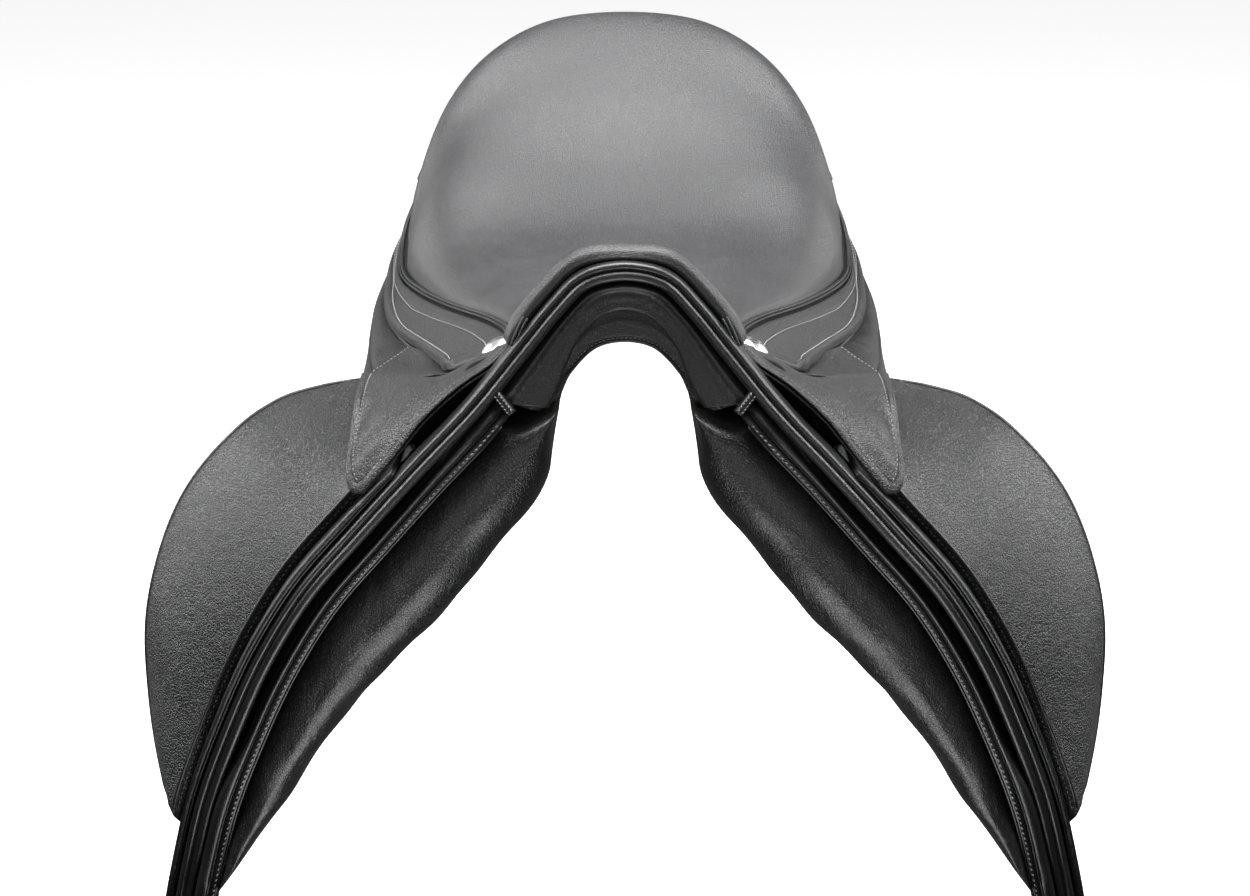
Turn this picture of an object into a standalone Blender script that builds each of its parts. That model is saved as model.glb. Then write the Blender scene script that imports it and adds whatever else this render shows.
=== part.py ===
"""English dressage saddle: tree, seat, skirts, flaps with external blocks, panels, girth straps.

Design coordinates are millimetres: x to the saddle's left, y back from the pommel's front,
z up from the pommel's top. World coordinates are metres, with the origin in the gullet channel
half way along the saddle. Left-hand pieces are drawn and right-hand ones mirrored from them.
"""

import math

import bpy
import numpy as np

# ---- driving dimensions, mm -------------------------------------------------------------
ORIGIN_Y = 230.0
ORIGIN_Z = 115.0
GAP = 0.4
LEATHER = 4.0

# Inner face of the outer flap, seen from the front, from the pommel down: (x, z) control points.
FLAP_FRONT = [(50, -42), (88, -90), (124, -128), (158, -165), (190, -202), (216, -245),
              (236, -290), (253, -336), (265, -384), (275, -432), (282, -478)]
FLAP_MIDDLE = [(96, -84), (140, -104), (170, -130), (193, -163), (211, -202), (226, -245),
               (240, -290), (254, -336), (265, -384), (275, -432), (282, -478)]
FLAP_REAR = [(84, -48), (120, -58), (148, -82), (163, -116)] + FLAP_MIDDLE[4:]
STEP = 48.0
MIDDLE_Y = 240.0
REAR_Y = 420.0

FLAP_IN = [(1.8, 1.2), (3.0, 1.8)]
FLAP_OUT = [(1.8, 4.6), (3.2, 6.8)]
LINING_OUT = 0.8
LINING_IN = -5.4
ROLL_IN = -10.4
SWEAT_OUT = [-14.8, -14.8, -15.4, -16.5, -17, -16.5, -15.4, -14.6, -14.4, -14.4]
SWEAT_END = 8.05
FLAP_EDGE_FRONT = [-3, -8, -13, -15, -10, -4, 6, 34, 74]
FLAP_EDGE_REAR = [224, 228, 232, 234, 234, 230, 222, 205, 168]
FLAP_TOP = [(-20, 1.8), (150, 1.86), (240, 1.95)]
LINING_TOP = [(-20, 0.62), (28, 0.62), (48, 1.6), (150, 1.88), (240, 1.97)]
SWEAT_TOP = [(-20, 0.98), (28, 0.98), (48, 1.6), (150, 1.95), (240, 2.1)]

# Cross rows of the seat's surface from the centre line to the seam: (x, y, z).
SEAT_ROWS = [
    [(0, 1, -9.4), (28, 2, -15), (48, 2, -35.5), (60, 3, -50), (65, 4, -57), (68, 6, -61)],
    [(0, 6, -4.5), (28, 6, -9.5), (49, 5, -29.5), (61, 6, -45.5), (66, 7, -54), (69, 10, -61)],
    [(0, 22, -3), (27, 21, -8), (47, 20, -26), (60, 20, -42), (66, 20, -54), (69, 20, -64)],
    [(0, 48, -10), (28, 48, -15), (46, 48, -30), (58, 49, -45), (65, 50, -57), (68, 50, -66)],
    [(0, 90, -34), (28, 90, -37), (48, 90, -46), (60, 90, -56), (66, 90, -64), (69, 91, -70)],
    [(0, 140, -52), (32, 140, -53), (56, 140, -58), (71, 140, -65), (80, 140, -71), (83, 141, -77)],
    [(0, 210, -60), (40, 210, -60), (72, 209, -62), (93, 207, -68), (104, 205, -76), (108, 204, -84)],
    [(0, 280, -52), (48, 280, -50), (86, 277, -52), (111, 272, -60), (125, 268, -74), (129, 265, -89)],
    [(0, 345, -22), (54, 342, -20), (96, 334, -23), (124, 322, -38), (139, 312, -64), (142, 305, -87)],
    [(0, 405, 22), (56, 400, 19), (101, 386, 5), (130, 360, -24), (144, 338, -60), (145, 326, -85)],
    [(0, 455, 56), (50, 448, 51), (93, 426, 35), (124, 396, 4), (141, 362, -38), (146, 340, -80)],
    [(0, 474, 60), (50, 467, 54), (94, 444, 35), (125, 412, 4), (142, 374, -40), (147, 350, -77)],
    [(0, 483, 50), (51, 476, 44), (95, 453, 25), (126, 420, -5), (143, 382, -46), (147, 358, -74)],
    [(0, 486, 30), (51, 479, 24), (95, 456, 7), (126, 424, -20), (142, 390, -52), (147, 366, -70)],
]
SEAT_ROW_COUNT = 27
SEAT_ACROSS = 9
COVER = 3.0
FOAM = 9.0

# Skirt: rows from the hinge line out to the lower edge, front to rear.
SKIRT_ROWS = [
    [(72, 18, -66), (91, 14, -79), (110, 5, -97), (132, -4, -121), (154, -7, -144)],
    [(82, 42, -72.5), (102, 39, -83), (122, 33, -97), (143, 26, -117), (164, 20, -142)],
    [(95.5, 70, -80), (113, 68, -86), (131, 64, -95), (148, 60, -107), (163, 56, -126)],
    [(108.5, 98, -88), (121, 97, -91), (135, 96, -96), (149, 95, -102), (162, 92, -113)],
    [(121, 124, -94), (130, 124, -95), (140, 124, -98), (150, 124, -102), (159, 122, -108)],
    [(131.5, 148, -98), (138, 149, -99), (144, 150, -100.5), (150, 150, -102), (155, 150, -106)],
]
# Seat side band: inner edge along the seat seam and outer stitched edge.
BAND_INNER = [(69, 40, -68), (72, 90, -74), (85, 141, -80), (110, 205, -87), (131, 266, -92),
              (145, 310, -91), (149, 345, -83), (149, 372, -70), (143, 398, -52)]
BAND_OUTER = [(71, 32, -68), (100.5, 92, -83.5), (126.5, 145, -95), (146, 208, -98), (155, 262, -96),
              (158, 312, -93), (157, 346, -86), (152, 376, -76), (146, 404, -60)]

BLOCK_S = [2.16, 2.36, 2.8, 3.4, 4.5, 5.56, 6.5, 7.44]
BLOCK_CREST = [25, 40, 56, 65, 71, 61.5, 37, 11]
BLOCK_CREST_Y = [122, 115, 105, 95, 75, 58, 36, 8]
BLOCK_FOOT_S = [2.86, 2.95, 3.2, 3.65, 4.6, 5.6, 6.5, 7.4]
BLOCK_REAR_Y = [138, 142, 142, 138, 122, 102, 72, 24]

BAR_DROP = 101.2
BILLET_Y = {"front": 152.0, "rear": 200.0}
BILLET_WIDTH = 25.0
BILLET_OUT = -8.0
BILLET_IN = -11.8
BILLET_END = 11.2
SHELF = 0.25
PANEL_INNER = [-46, -63, -77, -82, -84, -76, -61, -46, -26, -26, -26]


# ---- materials --------------------------------------------------------------------------
def material(name, colour, roughness, metallic=0.0):
    """A plain Principled material."""
    made = bpy.data.materials.new(name)
    made.use_nodes = True
    shader = made.node_tree.nodes["Principled BSDF"]
    shader.inputs["Base Color"].default_value = (*colour, 1.0)
    shader.inputs["Roughness"].default_value = roughness
    shader.inputs["Metallic"].default_value = metallic
    made.diffuse_color = (*colour, 1.0)
    return made


def make_materials():
    """Every finish of the saddle."""
    return {
        "seat_leather": material("seat_leather", (0.045, 0.045, 0.047), 0.42),
        "flap_leather": material("flap_leather", (0.03, 0.03, 0.032), 0.38),
        "panel_leather": material("panel_leather", (0.022, 0.022, 0.024), 0.5),
        "wood": material("wood", (0.42, 0.27, 0.14), 0.6),
        "steel": material("steel", (0.55, 0.56, 0.58), 0.32, 1.0),
        "web": material("web", (0.55, 0.5, 0.4), 0.9),
        "foam": material("foam", (0.6, 0.58, 0.5), 0.9),
        "polished": material("polished", (0.8, 0.8, 0.82), 0.12, 1.0),
    }


# ---- geometry helpers -------------------------------------------------------------------
def along(points, t):
    """Point at share t of a smooth curve through the points."""
    p = np.asarray(points, float)
    k = min(max(t, 0.0), 1.0) * (len(p) - 1)
    i = min(int(k), len(p) - 2)
    f = k - i
    b, c = p[i], p[i + 1]
    a = p[i - 1] if i > 0 else 2 * b - c
    d = p[i + 2] if i + 2 < len(p) else 2 * c - b
    return 0.5 * (2 * b + (c - a) * f + (2 * a - 5 * b + 4 * c - d) * f * f
                  + (3 * b - a - 3 * c + d) * f ** 3)


def ramp(pairs, x):
    """Value at x on a broken line of (x, value) pairs, eased between them."""
    xs = [p[0] for p in pairs]
    vs = [p[1] for p in pairs]
    if x <= xs[0]:
        return vs[0]
    for i in range(len(xs) - 1):
        if x <= xs[i + 1]:
            f = (x - xs[i]) / (xs[i + 1] - xs[i])
            return vs[i] + (vs[i + 1] - vs[i]) * f * f * (3 - 2 * f)
    return vs[-1]


def mix(a, b, t):
    """Straight blend of two values or points."""
    return a + (b - a) * t


def flap_line(y):
    """The flap line's control points at depth y."""
    front, middle, rear = (np.array(v, float) for v in (FLAP_FRONT, FLAP_MIDDLE, FLAP_REAR))
    if y <= MIDDLE_Y:
        return mix(front, middle, (max(y, 0.0) / MIDDLE_Y) ** 1.3)
    return mix(middle, rear, min((y - MIDDLE_Y) / (REAR_Y - MIDDLE_Y), 1.15))


def side(s, y, n):
    """Point s control steps down the flap line at depth y, n mm outside it."""
    line = flap_line(y)
    p = along(line, s / 10)
    t = along(line, min(s + 0.05, 10) / 10) - along(line, (min(s, 9.99) - 0.05) / 10)
    t = t / np.hypot(t[0], t[1])
    p = p + t * STEP * max(s - 10, 0.0)
    return np.array([p[0] - t[1] * n, y, p[1] + t[0] * n])


def world(p):
    """Design millimetres to world metres."""
    return (p[0] * 0.001, (p[1] - ORIGIN_Y) * 0.001, (p[2] + ORIGIN_Z) * 0.001)


def solid(name, points, faces, finish, hand=1, pivot=None):
    """One closed body from design points; hand -1 mirrors it to the right."""
    mesh = bpy.data.meshes.new(name)
    centre = np.array(world(pivot)) if pivot is not None else np.zeros(3)
    placed = np.array([world(p) for p in points]) - centre
    if hand < 0:
        placed[:, 0] *= -1
        faces = [(f[0],) + tuple(reversed(f[1:])) for f in faces]
        centre = centre * np.array([-1, 1, 1])
    mesh.from_pydata([tuple(p) for p in placed], [], faces)
    mesh.materials.append(finish)
    mesh.update()
    made = bpy.data.objects.new(name, mesh)
    made.location = centre
    bpy.context.scene.collection.objects.link(made)
    volume = signed_volume(mesh)
    if volume < 0:
        mesh.flip_normals()
    return made


def signed_volume(mesh):
    """Volume of a closed mesh, negative when its faces point inwards."""
    total = 0.0
    for face in mesh.polygons:
        co = [mesh.vertices[i].co for i in face.vertices]
        for i in range(1, len(co) - 1):
            total += co[0].dot(co[i].cross(co[i + 1])) / 6
    return total


def skin_pair(outer, inner):
    """Points and faces of the closed sheet between two equal grids."""
    outer = np.asarray(outer, float)
    inner = np.asarray(inner, float)
    rows, cols = outer.shape[:2]
    points = list(outer.reshape(-1, 3)) + list(inner.reshape(-1, 3))
    base = rows * cols
    faces = []
    for i in range(rows - 1):
        for j in range(cols - 1):
            a, b = i * cols + j, i * cols + j + 1
            c, d = b + cols, a + cols
            faces.append((a, b, c, d))
            faces.append((base + d, base + c, base + b, base + a))
    rim = [j for j in range(cols)]
    rim += [i * cols + cols - 1 for i in range(1, rows)]
    rim += [(rows - 1) * cols + j for j in range(cols - 2, -1, -1)]
    rim += [i * cols for i in range(rows - 2, 0, -1)]
    for k, a in enumerate(rim):
        b = rim[(k + 1) % len(rim)]
        faces.append((b, a, base + a, base + b))
    return points, faces


def eased(count, edge=0.02):
    """Shares from 0 to 1 with an extra narrow step at each end, for a rounded edge."""
    return [0.0] + [mix(edge, 1 - edge, i / (count - 1)) for i in range(count)] + [1.0]


def sheet(name, finish, hand, rows, cols, place, n_out, n_in, pivot=None, edge=0.02, keep=0.45):
    """A curved sheet on the flap line: place(a, b) gives (s, y), n_out and n_in its two faces."""
    shares_a, shares_b = (v if isinstance(v, list) else eased(v, edge) for v in (rows, cols))
    outer, inner = [], []
    for i, a in enumerate(shares_a):
        row_out, row_in = [], []
        for j, b in enumerate(shares_b):
            s, y = place(a, b)
            out, inn = n_out(s, y), n_in(s, y)
            if i in (0, len(shares_a) - 1) or j in (0, len(shares_b) - 1):
                middle = (out + inn) / 2
                out, inn = mix(middle, out, keep), mix(middle, inn, keep)
            row_out.append(side(s, y, out))
            row_in.append(side(s, y, inn))
        outer.append(row_out)
        inner.append(row_in)
    points, faces = skin_pair(outer, inner)
    return solid(name, points, faces, finish, hand, pivot)


def grid_normals(grid):
    """Unit normals of a grid of points, from its own steps."""
    g = np.asarray(grid, float)
    du = np.gradient(g, axis=0)
    dv = np.gradient(g, axis=1)
    n = np.cross(du, dv)
    return n / np.maximum(np.linalg.norm(n, axis=2, keepdims=True), 1e-9)


def thick_grid(name, finish, hand, grid, above, below, sign=1, keep=0.5, pivot=None):
    """A sheet around a grid of points, above mm on one side and below mm on the other."""
    g = np.asarray(grid, float)
    n = grid_normals(g) * sign
    rows, cols = g.shape[:2]
    up = np.broadcast_to(np.asarray(above, float), (rows, cols))
    down = np.broadcast_to(np.asarray(below, float), (rows, cols))
    edge = np.ones((rows, cols), bool)
    edge[1:-1, 1:-1] = False
    centre, half = (up - down) / 2, (up + down) / 2
    up = np.where(edge, centre + half * keep, up)
    down = np.where(edge, half * keep - centre, down)
    points, faces = skin_pair(g + n * up[..., None], g - n * down[..., None])
    return solid(name, points, faces, finish, hand, pivot)


def sweep(name, finish, hand, path, half_a, half_b, up, sides=10, power=1.0, pivot=None):
    """A rounded bar along a path: half sizes along up and across it, ends closed flat."""
    path = np.asarray(path, float)
    up = np.asarray(up, float)
    points, faces = [], []
    for k, p in enumerate(path):
        t = path[min(k + 1, len(path) - 1)] - path[max(k - 1, 0)]
        t = t / np.linalg.norm(t)
        u = up[k] if up.ndim == 2 else up
        u = u - t * np.dot(u, t)
        u = u / np.linalg.norm(u)
        v = np.cross(t, u)
        ra = half_a[k] if np.ndim(half_a) else half_a
        rb = half_b[k] if np.ndim(half_b) else half_b
        for j in range(sides):
            w = 2 * math.pi * (j + 0.5) / sides
            cu, sv = math.cos(w), math.sin(w)
            cu = math.copysign(abs(cu) ** power, cu)
            sv = math.copysign(abs(sv) ** power, sv)
            points.append(p + u * ra * cu + v * rb * sv)
    for k in range(len(path) - 1):
        for j in range(sides):
            a, b = k * sides + j, k * sides + (j + 1) % sides
            faces.append((a, b, b + sides, a + sides))
    faces.append(tuple(range(sides - 1, -1, -1)))
    last = (len(path) - 1) * sides
    faces.append(tuple(last + j for j in range(sides)))
    return solid(name, points, faces, finish, hand, pivot)


def drum(name, finish, hand, centre, axis, profile, sides=16, pivot=None):
    """A turned piece: profile gives (distance along axis, radius) from one end to the other."""
    axis = np.asarray(axis, float) / np.linalg.norm(axis)
    u = np.cross(axis, (0, 1, 0))
    u = u / np.linalg.norm(u)
    v = np.cross(axis, u)
    points, faces = [], []
    for along_axis, radius in profile:
        for j in range(sides):
            w = 2 * math.pi * j / sides
            points.append(np.asarray(centre, float) + axis * along_axis
                          + (u * math.cos(w) + v * math.sin(w)) * radius)
    for k in range(len(profile) - 1):
        for j in range(sides):
            a, b = k * sides + j, k * sides + (j + 1) % sides
            faces.append((a, b, b + sides, a + sides))
    faces.append(tuple(range(sides - 1, -1, -1)))
    last = (len(profile) - 1) * sides
    faces.append(tuple(last + j for j in range(sides)))
    return solid(name, points, faces, finish, hand, pivot)


def mirrored(half):
    """A whole row from right to left, from its half that starts on the centre line."""
    return [(-x, y, z) for x, y, z in reversed(half[1:])] + list(half)


# ---- seat -------------------------------------------------------------------------------
def seat_grid(rows, across, first=0.0, last=1.0):
    """The seat's surface as a grid of points, pommel to cantle and right to left."""
    whole = [mirrored([tuple(p) for p in row]) for row in SEAT_ROWS]
    grid = []
    for i in range(rows):
        v = mix(first, last, i / (rows - 1))
        row = [along([r[k] for r in whole], v) for k in range(len(whole[0]))]
        grid.append([along(row, j / (2 * across)) for j in range(2 * across + 1)])
    return np.array(grid)


def make_seat(finishes):
    """Seat cover, foam, cantle back and the piping round the seat."""
    grid = seat_grid(SEAT_ROW_COUNT, SEAT_ACROSS)
    normals = grid_normals(grid)
    up = 1 if normals[SEAT_ROW_COUNT // 2, SEAT_ACROSS, 2] > 0 else -1
    thick_grid("seat_cover", finishes["seat_leather"], 1, grid, 0.0, COVER, up, keep=0.7)
    inner = grid[8:-5, 3:-3]
    drop = normals[8:-5, 3:-3] * up
    rows, cols = inner.shape[:2]
    depth = np.ones((rows, cols)) * (COVER + 1 + FOAM)
    depth[0, :] = depth[-1, :] = COVER + 4
    depth[:, 0] = depth[:, -1] = COVER + 4
    top = inner - drop * (COVER + 1)
    bottom = inner - drop * depth[..., None]
    points, faces = skin_pair(top, bottom)
    solid("seat_foam", points, faces, finishes["foam"])


def make_cantle_back(finishes):
    """The leather panel behind the cantle, from the rear seam down to the panels."""
    top = [(0, 485, 27), (51, 478, 21), (95, 455, 4), (126, 423, -23), (140, 396, -48)]
    bottom = [(0, 474, -34), (50, 468, -39), (92, 447, -49), (121, 422, -59), (138, 402, -68)]
    rows = []
    for i in range(4):
        f = i / 3
        half = [np.array(a, float) * (1 - f) + np.array(b, float) * f for a, b in zip(top, bottom)]
        row = mirrored([tuple(p) for p in half])
        rows.append([along(row, j / 16) for j in range(17)])
    grid = np.array(rows)
    sign = 1 if grid_normals(grid)[2, 8, 1] > 0 else -1
    thick_grid("cantle_back", finishes["seat_leather"], 1, grid, 0.0, LEATHER, sign)


def make_seat_sides(finishes, hand, word):
    """The padded band between the seat seam and the stitched edge over the panel."""
    inner = [along(BAND_INNER, i / 15) for i in range(16)]
    outer = [along(BAND_OUTER, i / 15) for i in range(16)]
    grid, above = [], []
    for a, b in zip(inner, outer):
        row, lift = [], []
        for j in range(5):
            f = j / 4
            row.append(mix(a, b, f))
            lift.append(2.2 * math.sin(math.pi * min(f * 1.6, 1.0)) ** 2 + 0.6)
        grid.append(row)
        above.append(lift)
    grid = np.array(grid)
    sign = 1 if grid_normals(grid)[8, 2, 2] > 0 else -1
    thick_grid(f"seat_side_{word}", finishes["seat_leather"], hand, grid, np.array(above), 3.6, sign)


def make_piping(finishes, hand, word):
    """The thin welt that closes the seam between the seat and its side."""
    path = [mix(np.asarray(along(BAND_INNER, t)), np.asarray(along(BAND_OUTER, t)), 0.0)
            + np.array([-0.4, 0, 5.2]) for t in [0.04 + 0.8 * i / 16 for i in range(17)]]
    sweep(f"seat_piping_{word}", finishes["seat_leather"], hand, path, 1.5, 1.5, (0, 0, 1), 6)


# ---- tree -------------------------------------------------------------------------------
def head_curve(y, outer):
    """The laminated head from the crown to the tree point, at depth y."""
    if outer:
        near = [(0, -22), (26, -28), (45, -47)]
        rest = [(0.62, -12.5), (1.0, -10.0), (1.6, -8.6), (2.3, -8.6)]
    else:
        near = [(0, -44), (19, -47), (35, -62)]
        rest = [(0.62, -23.0), (1.0, -14.6), (1.6, -12.9), (2.3, -12.9)]
    points = [np.array([x, y, z], float) for x, z in near]
    return points + [side(s, y, n) for s, n in rest]


def make_tree(finishes):
    """Head, rails and cantle board of laminated wood, with the steel plates of the head."""
    grids = []
    for outer in (True, False):
        rows = [mirrored([tuple(p) for p in head_curve(y, outer)]) for y in (18.0, 36.0, 55.0)]
        grids.append([[along(row, j / 24) for j in range(25)] for row in rows])
    points, faces = skin_pair(grids[0], grids[1])
    solid("tree_head", points, faces, finishes["wood"])
    make_head_plate(finishes)
    make_gullet_plate(finishes)
    rear = [(0, 458, 12), (45, 452, 7), (84, 430, -9), (108, 402, -32)]
    row = mirrored(rear)
    path = [along(row, i / 14) for i in range(15)]
    sweep("tree_cantle", finishes["wood"], 1, path, 17, 4.5, (0, -0.35, 1), 8, 0.5)


def make_head_plate(finishes):
    """The steel plate riveted on the front of the head."""
    half = []
    for f in (0.22, 0.78):
        pairs = zip(head_curve(18.0, True)[:4], head_curve(18.0, False)[:4])
        half.append([mix(a, b, f) for a, b in pairs])
    grids = []
    for y in (13.0, 17.5):
        rows = [mirrored([(x, y, z) for x, _, z in row]) for row in half]
        grids.append([[along(row, j / 14) for j in range(15)] for row in rows])
    points, faces = skin_pair(grids[0], grids[1])
    solid("head_plate", points, faces, finishes["steel"])


def make_gullet_plate(finishes):
    """The gullet plate of bent steel under the head."""
    grids = []
    for drop in (0.4, 2.9):
        rows = []
        for y in (20.0, 36.0, 52.0):
            near = [(0, -44 - drop), (19 - drop * 0.3, -47.2 - drop), (34.6 - drop, -62.5 - drop * 0.5),
                    (44.0 - drop, -76.0 - drop * 0.5)]
            row = mirrored([(x, y, z) for x, z in near])
            rows.append([along(row, j / 14) for j in range(15)])
        grids.append(rows)
    points, faces = skin_pair(grids[0], grids[1])
    solid("gullet_plate", points, faces, finishes["steel"])


def make_rails(finishes, hand, word):
    """A side rail of the tree, the spring of steel on it and the long web over it."""
    rail = [(55, 58, -78), (57, 110, -84), (62, 160, -91), (76, 220, -96), (92, 290, -92),
            (100, 350, -74), (100, 398, -50)]
    path = [along(rail, i / 10) for i in range(11)]
    sweep(f"tree_rail_{word}", finishes["wood"], hand, path, 4.5, 13, (0, 0, 1), 8, 0.5)
    spring = [(50, 66, -70.5), (52, 110, -75.5), (57, 160, -82.5), (71, 220, -88), (86, 290, -84.5)]
    path = [along(spring, i / 7) for i in range(8)]
    sweep(f"spring_steel_{word}", finishes["steel"], hand, path, 1.2, 8, (0, 0, 1), 8, 0.5)
    web = [(20, 71, -58), (20, 110, -66), (22, 170, -79), (24, 240, -80), (26, 310, -63),
           (28, 372, -27), (30, 420, 4)]
    path = [along(web, i / 10) for i in range(11)]
    sweep(f"web_long_{word}", finishes["web"], hand, path, 1.2, 17, (0, 0, 1), 8, 0.5)


def make_girth_webs(finishes):
    """The two webs that cross the tree and hold the girth straps."""
    for word, y in BILLET_Y.items():
        outer = side(1.75, y, -10)
        half = [(0, y, -88), (30, y, -89), (52, y, -99), (84, y, -108),
                tuple(side(1.35, y, -12.5)), (outer[0], y, outer[2])]
        row = mirrored(half)
        path = [along(row, i / 26) for i in range(27)]
        sweep(f"girth_web_{word}", finishes["web"], 1, path, 1.1, 14, (0, 0, 1), 8, 0.5)


def make_stirrup_bar(finishes, hand, word):
    """The forged bar, open behind, with the base plate and rivets that fix it to the rail."""
    path = [(79, 150, -99), (79, 147, -99), (79, 84, -98), (79.2, 78, -98), (81.5, 71, -98.3),
            (88, 66, -99), (97, 66, -100.2), (104.5, 71, -101), (107.8, 80, -BAR_DROP), (108, 83, -BAR_DROP),
            (111.8, 139, -BAR_DROP), (112, 142, -BAR_DROP)]
    sweep(f"stirrup_bar_{word}", finishes["steel"], hand, path, 4.5, 2.8, (0, 0, 1), 8, 0.35)
    for end, y in (("front", 100), ("rear", 136)):
        drum(f"bar_rivet_{end}_{word}", finishes["steel"], hand, (82.1, y, -98.4), (1, 0, 0),
             [(0, 3.2), (1.0, 3.0), (1.8, 1.6)], 10)


# ---- arch -------------------------------------------------------------------------------
def arch_points(offset, y, last=0.6):
    """Half of the arch line at an offset inside it, from the crown to the hinge."""
    crown = [(0, -11.2), (26, -17.2), (44, -35)]
    normals = [(0, -1), (-0.42, -0.91), (-0.74, -0.67)]
    half = [(x + nx * offset, y, z + nz * offset) for (x, z), (nx, nz) in zip(crown, normals)]
    for s in (last * 0.55, last):
        half.append(tuple(side(s, 0, -offset)))
    return [(x, y, z) for x, _, z in half]


def make_arch(finishes):
    """The roll that crosses the pommel, the facing under it and the lining of the gullet."""
    row = mirrored(arch_points(5.4, 4.0, 0.5))
    path = [along(row, i / 26) for i in range(27)]
    ups = []
    for k, p in enumerate(path):
        ups.append((p[0] * 0.9, 0, 40))
    sweep("pommel_roll", finishes["flap_leather"], 1, path, 4.9, 7.0, np.array(ups), 10)
    outer = [(x, z) for x, _, z in arch_points(11.6, 0, 0.88)]
    inner = [(0, -60), (17, -64), (31, -78), (38, -92), (50, -101)]
    grids = []
    for y, shift in ((3.5, 0.0), (10.5, 0.0)):
        rows = []
        for f in (0.0, 0.12, 0.5, 0.88, 1.0):
            half = []
            for (ax, az), (bx, bz) in zip(outer, inner):
                bulge = 2.0 if 0.05 < f < 0.95 and y < 5 else 0.0
                half.append((mix(ax, bx, f), y - bulge, mix(az, bz, f)))
            row = mirrored(half)
            rows.append([along(row, j / 20) for j in range(21)])
        grids.append(rows)
    points, faces = skin_pair(grids[0], grids[1])
    solid("arch_facing", points, faces, finishes["panel_leather"])
    grids = []
    for drop in (0.0, 2.6):
        rows = []
        for y in (11.0, 36.0, 66.0):
            half = [(0, y, -48.2 - drop - (y - 11) * 0.12), (17 - drop * 0.3, y, -52 - drop - (y - 11) * 0.12),
                    (30.5 - drop, y, -66 - drop * 0.6 - (y - 11) * 0.1), (36 - drop, y, -80 - (y - 11) * 0.05),
                    (38 - drop, y, -93)]
            row = mirrored(half)
            rows.append([along(row, j / 16) for j in range(17)])
        grids.append(rows)
    points, faces = skin_pair(grids[0], grids[1])
    solid("gullet_lining", points, faces, finishes["panel_leather"])


# ---- panels and sweat flaps -------------------------------------------------------------
def sweat_out(s, y):
    """Outer face of the sweat flap."""
    return float(along([(v,) for v in SWEAT_OUT], s / 9)[0])


def sweat_in(s, y):
    """Inner face of the sweat flap, thicker along its front edge."""
    return sweat_out(s, y) - LEATHER - 4.5 * ramp([(4, 1), (12, 0)], y)


def panel_point(a, y, upper):
    """Point on the panel's upper or lower face, share a of the way from the channel to the tip."""
    end = ramp([(-5, 7.9), (70, 7.85), (105, 6.4), (140, 4.4), (175, 3.4), (215, 2.9), (440, 2.55)], y)
    start = ramp([(0, 1.1), (60, 1.4), (445, 1.2)], y)
    lift = ramp([(236, 0), (290, 11)], y)
    bed = -LEATHER - 1.3 - 4.5 * ramp([(12, 1), (26, 0)], y) + lift
    inner_x = ramp([(0, 46), (55, 34), (445, 36)], y)
    if upper:
        first = (inner_x, y, ramp([(0, -101), (60, -106), (240, -107), (330, -97), (445, -77)], y))
        shelf = (ramp([(0, 60), (70, 74), (200, 82), (300, 94), (445, 84)], y), y,
                 ramp([(0, -110), (70, -112), (200, -113), (300, -106), (445, -82)], y))
    else:
        first = (inner_x, y, ramp([(0, -122), (45, -150), (240, -150), (330, -134), (445, -100)], y))
    hug = max(a - SHELF, 0.0) / (1 - SHELF)
    s = mix(start, end, hug)
    top = side(s, y, sweat_out(s, y) + bed)
    deep = float(along([(v,) for v in PANEL_INNER], s / 10)[0])
    deep = mix(deep, sweat_out(s, y) - 46 + lift * 0.5, ramp([(60, 0), (200, 1)], y))
    low = side(s, y, deep)
    if a >= SHELF:
        return top if upper else low
    share = a / SHELF
    if not upper:
        return mix(np.array(first), low, share)
    return along([first, shelf, tuple(top)], share)


def make_panel(finishes, hand, word):
    """The stuffed panel, with its long front pad down the shoulder."""
    depths = [-2, 3, 12, 26, 44, 66, 92, 116, 140, 170, 205, 250, 300, 350, 395, 425, 441, 446]
    shares = [0, 0.06, 0.15, SHELF, 0.34, 0.42, 0.5, 0.58, 0.66, 0.74, 0.81, 0.87, 0.92, 0.96, 0.985, 1.0]
    top, bottom = [], []
    for y in depths:
        front = min(max((y + 4) / 46, 0.0), 1.0)
        rear = min(max((449 - y) / 44, 0.0), 1.0)
        full = math.sqrt(1 - (1 - front) ** 2) * math.sqrt(1 - (1 - rear) ** 2)
        row_top, row_bottom = [], []
        for a in shares:
            p, q = panel_point(a, y, True), panel_point(a, y, False)
            tip = math.sqrt(max(1 - max((a - 0.78) / 0.22, 0.0) ** 2, 0.0))
            crown = 1 - 0.25 * max((0.1 - a) / 0.1, 0.0) ** 2
            row_top.append(p)
            row_bottom.append(mix(p, q, max(full * tip * crown, 0.12)))
        top.append(row_top)
        bottom.append(row_bottom)
    points, faces = skin_pair(top, bottom)
    solid(f"panel_{word}", points, faces, finishes["panel_leather"], hand)


def make_sweat_flap(finishes, hand, word):
    """The under flap that lies on the panel."""
    def place(a, b):
        front = ramp([(0, -5), (0.8, -5), (0.95, 3), (1.0, 14)], a)
        rear = ramp([(0, 232), (0.7, 230), (0.93, 200), (1.0, 150)], a)
        y = mix(front, rear, b)
        return mix(ramp(SWEAT_TOP, y), SWEAT_END, a), y

    across = [0.0, 0.015, 0.04, 0.075, 0.3, 0.53, 0.76, 0.98, 1.0]
    sheet(f"sweat_flap_{word}", finishes["flap_leather"], hand, 9, across, place, sweat_out, sweat_in)


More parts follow.
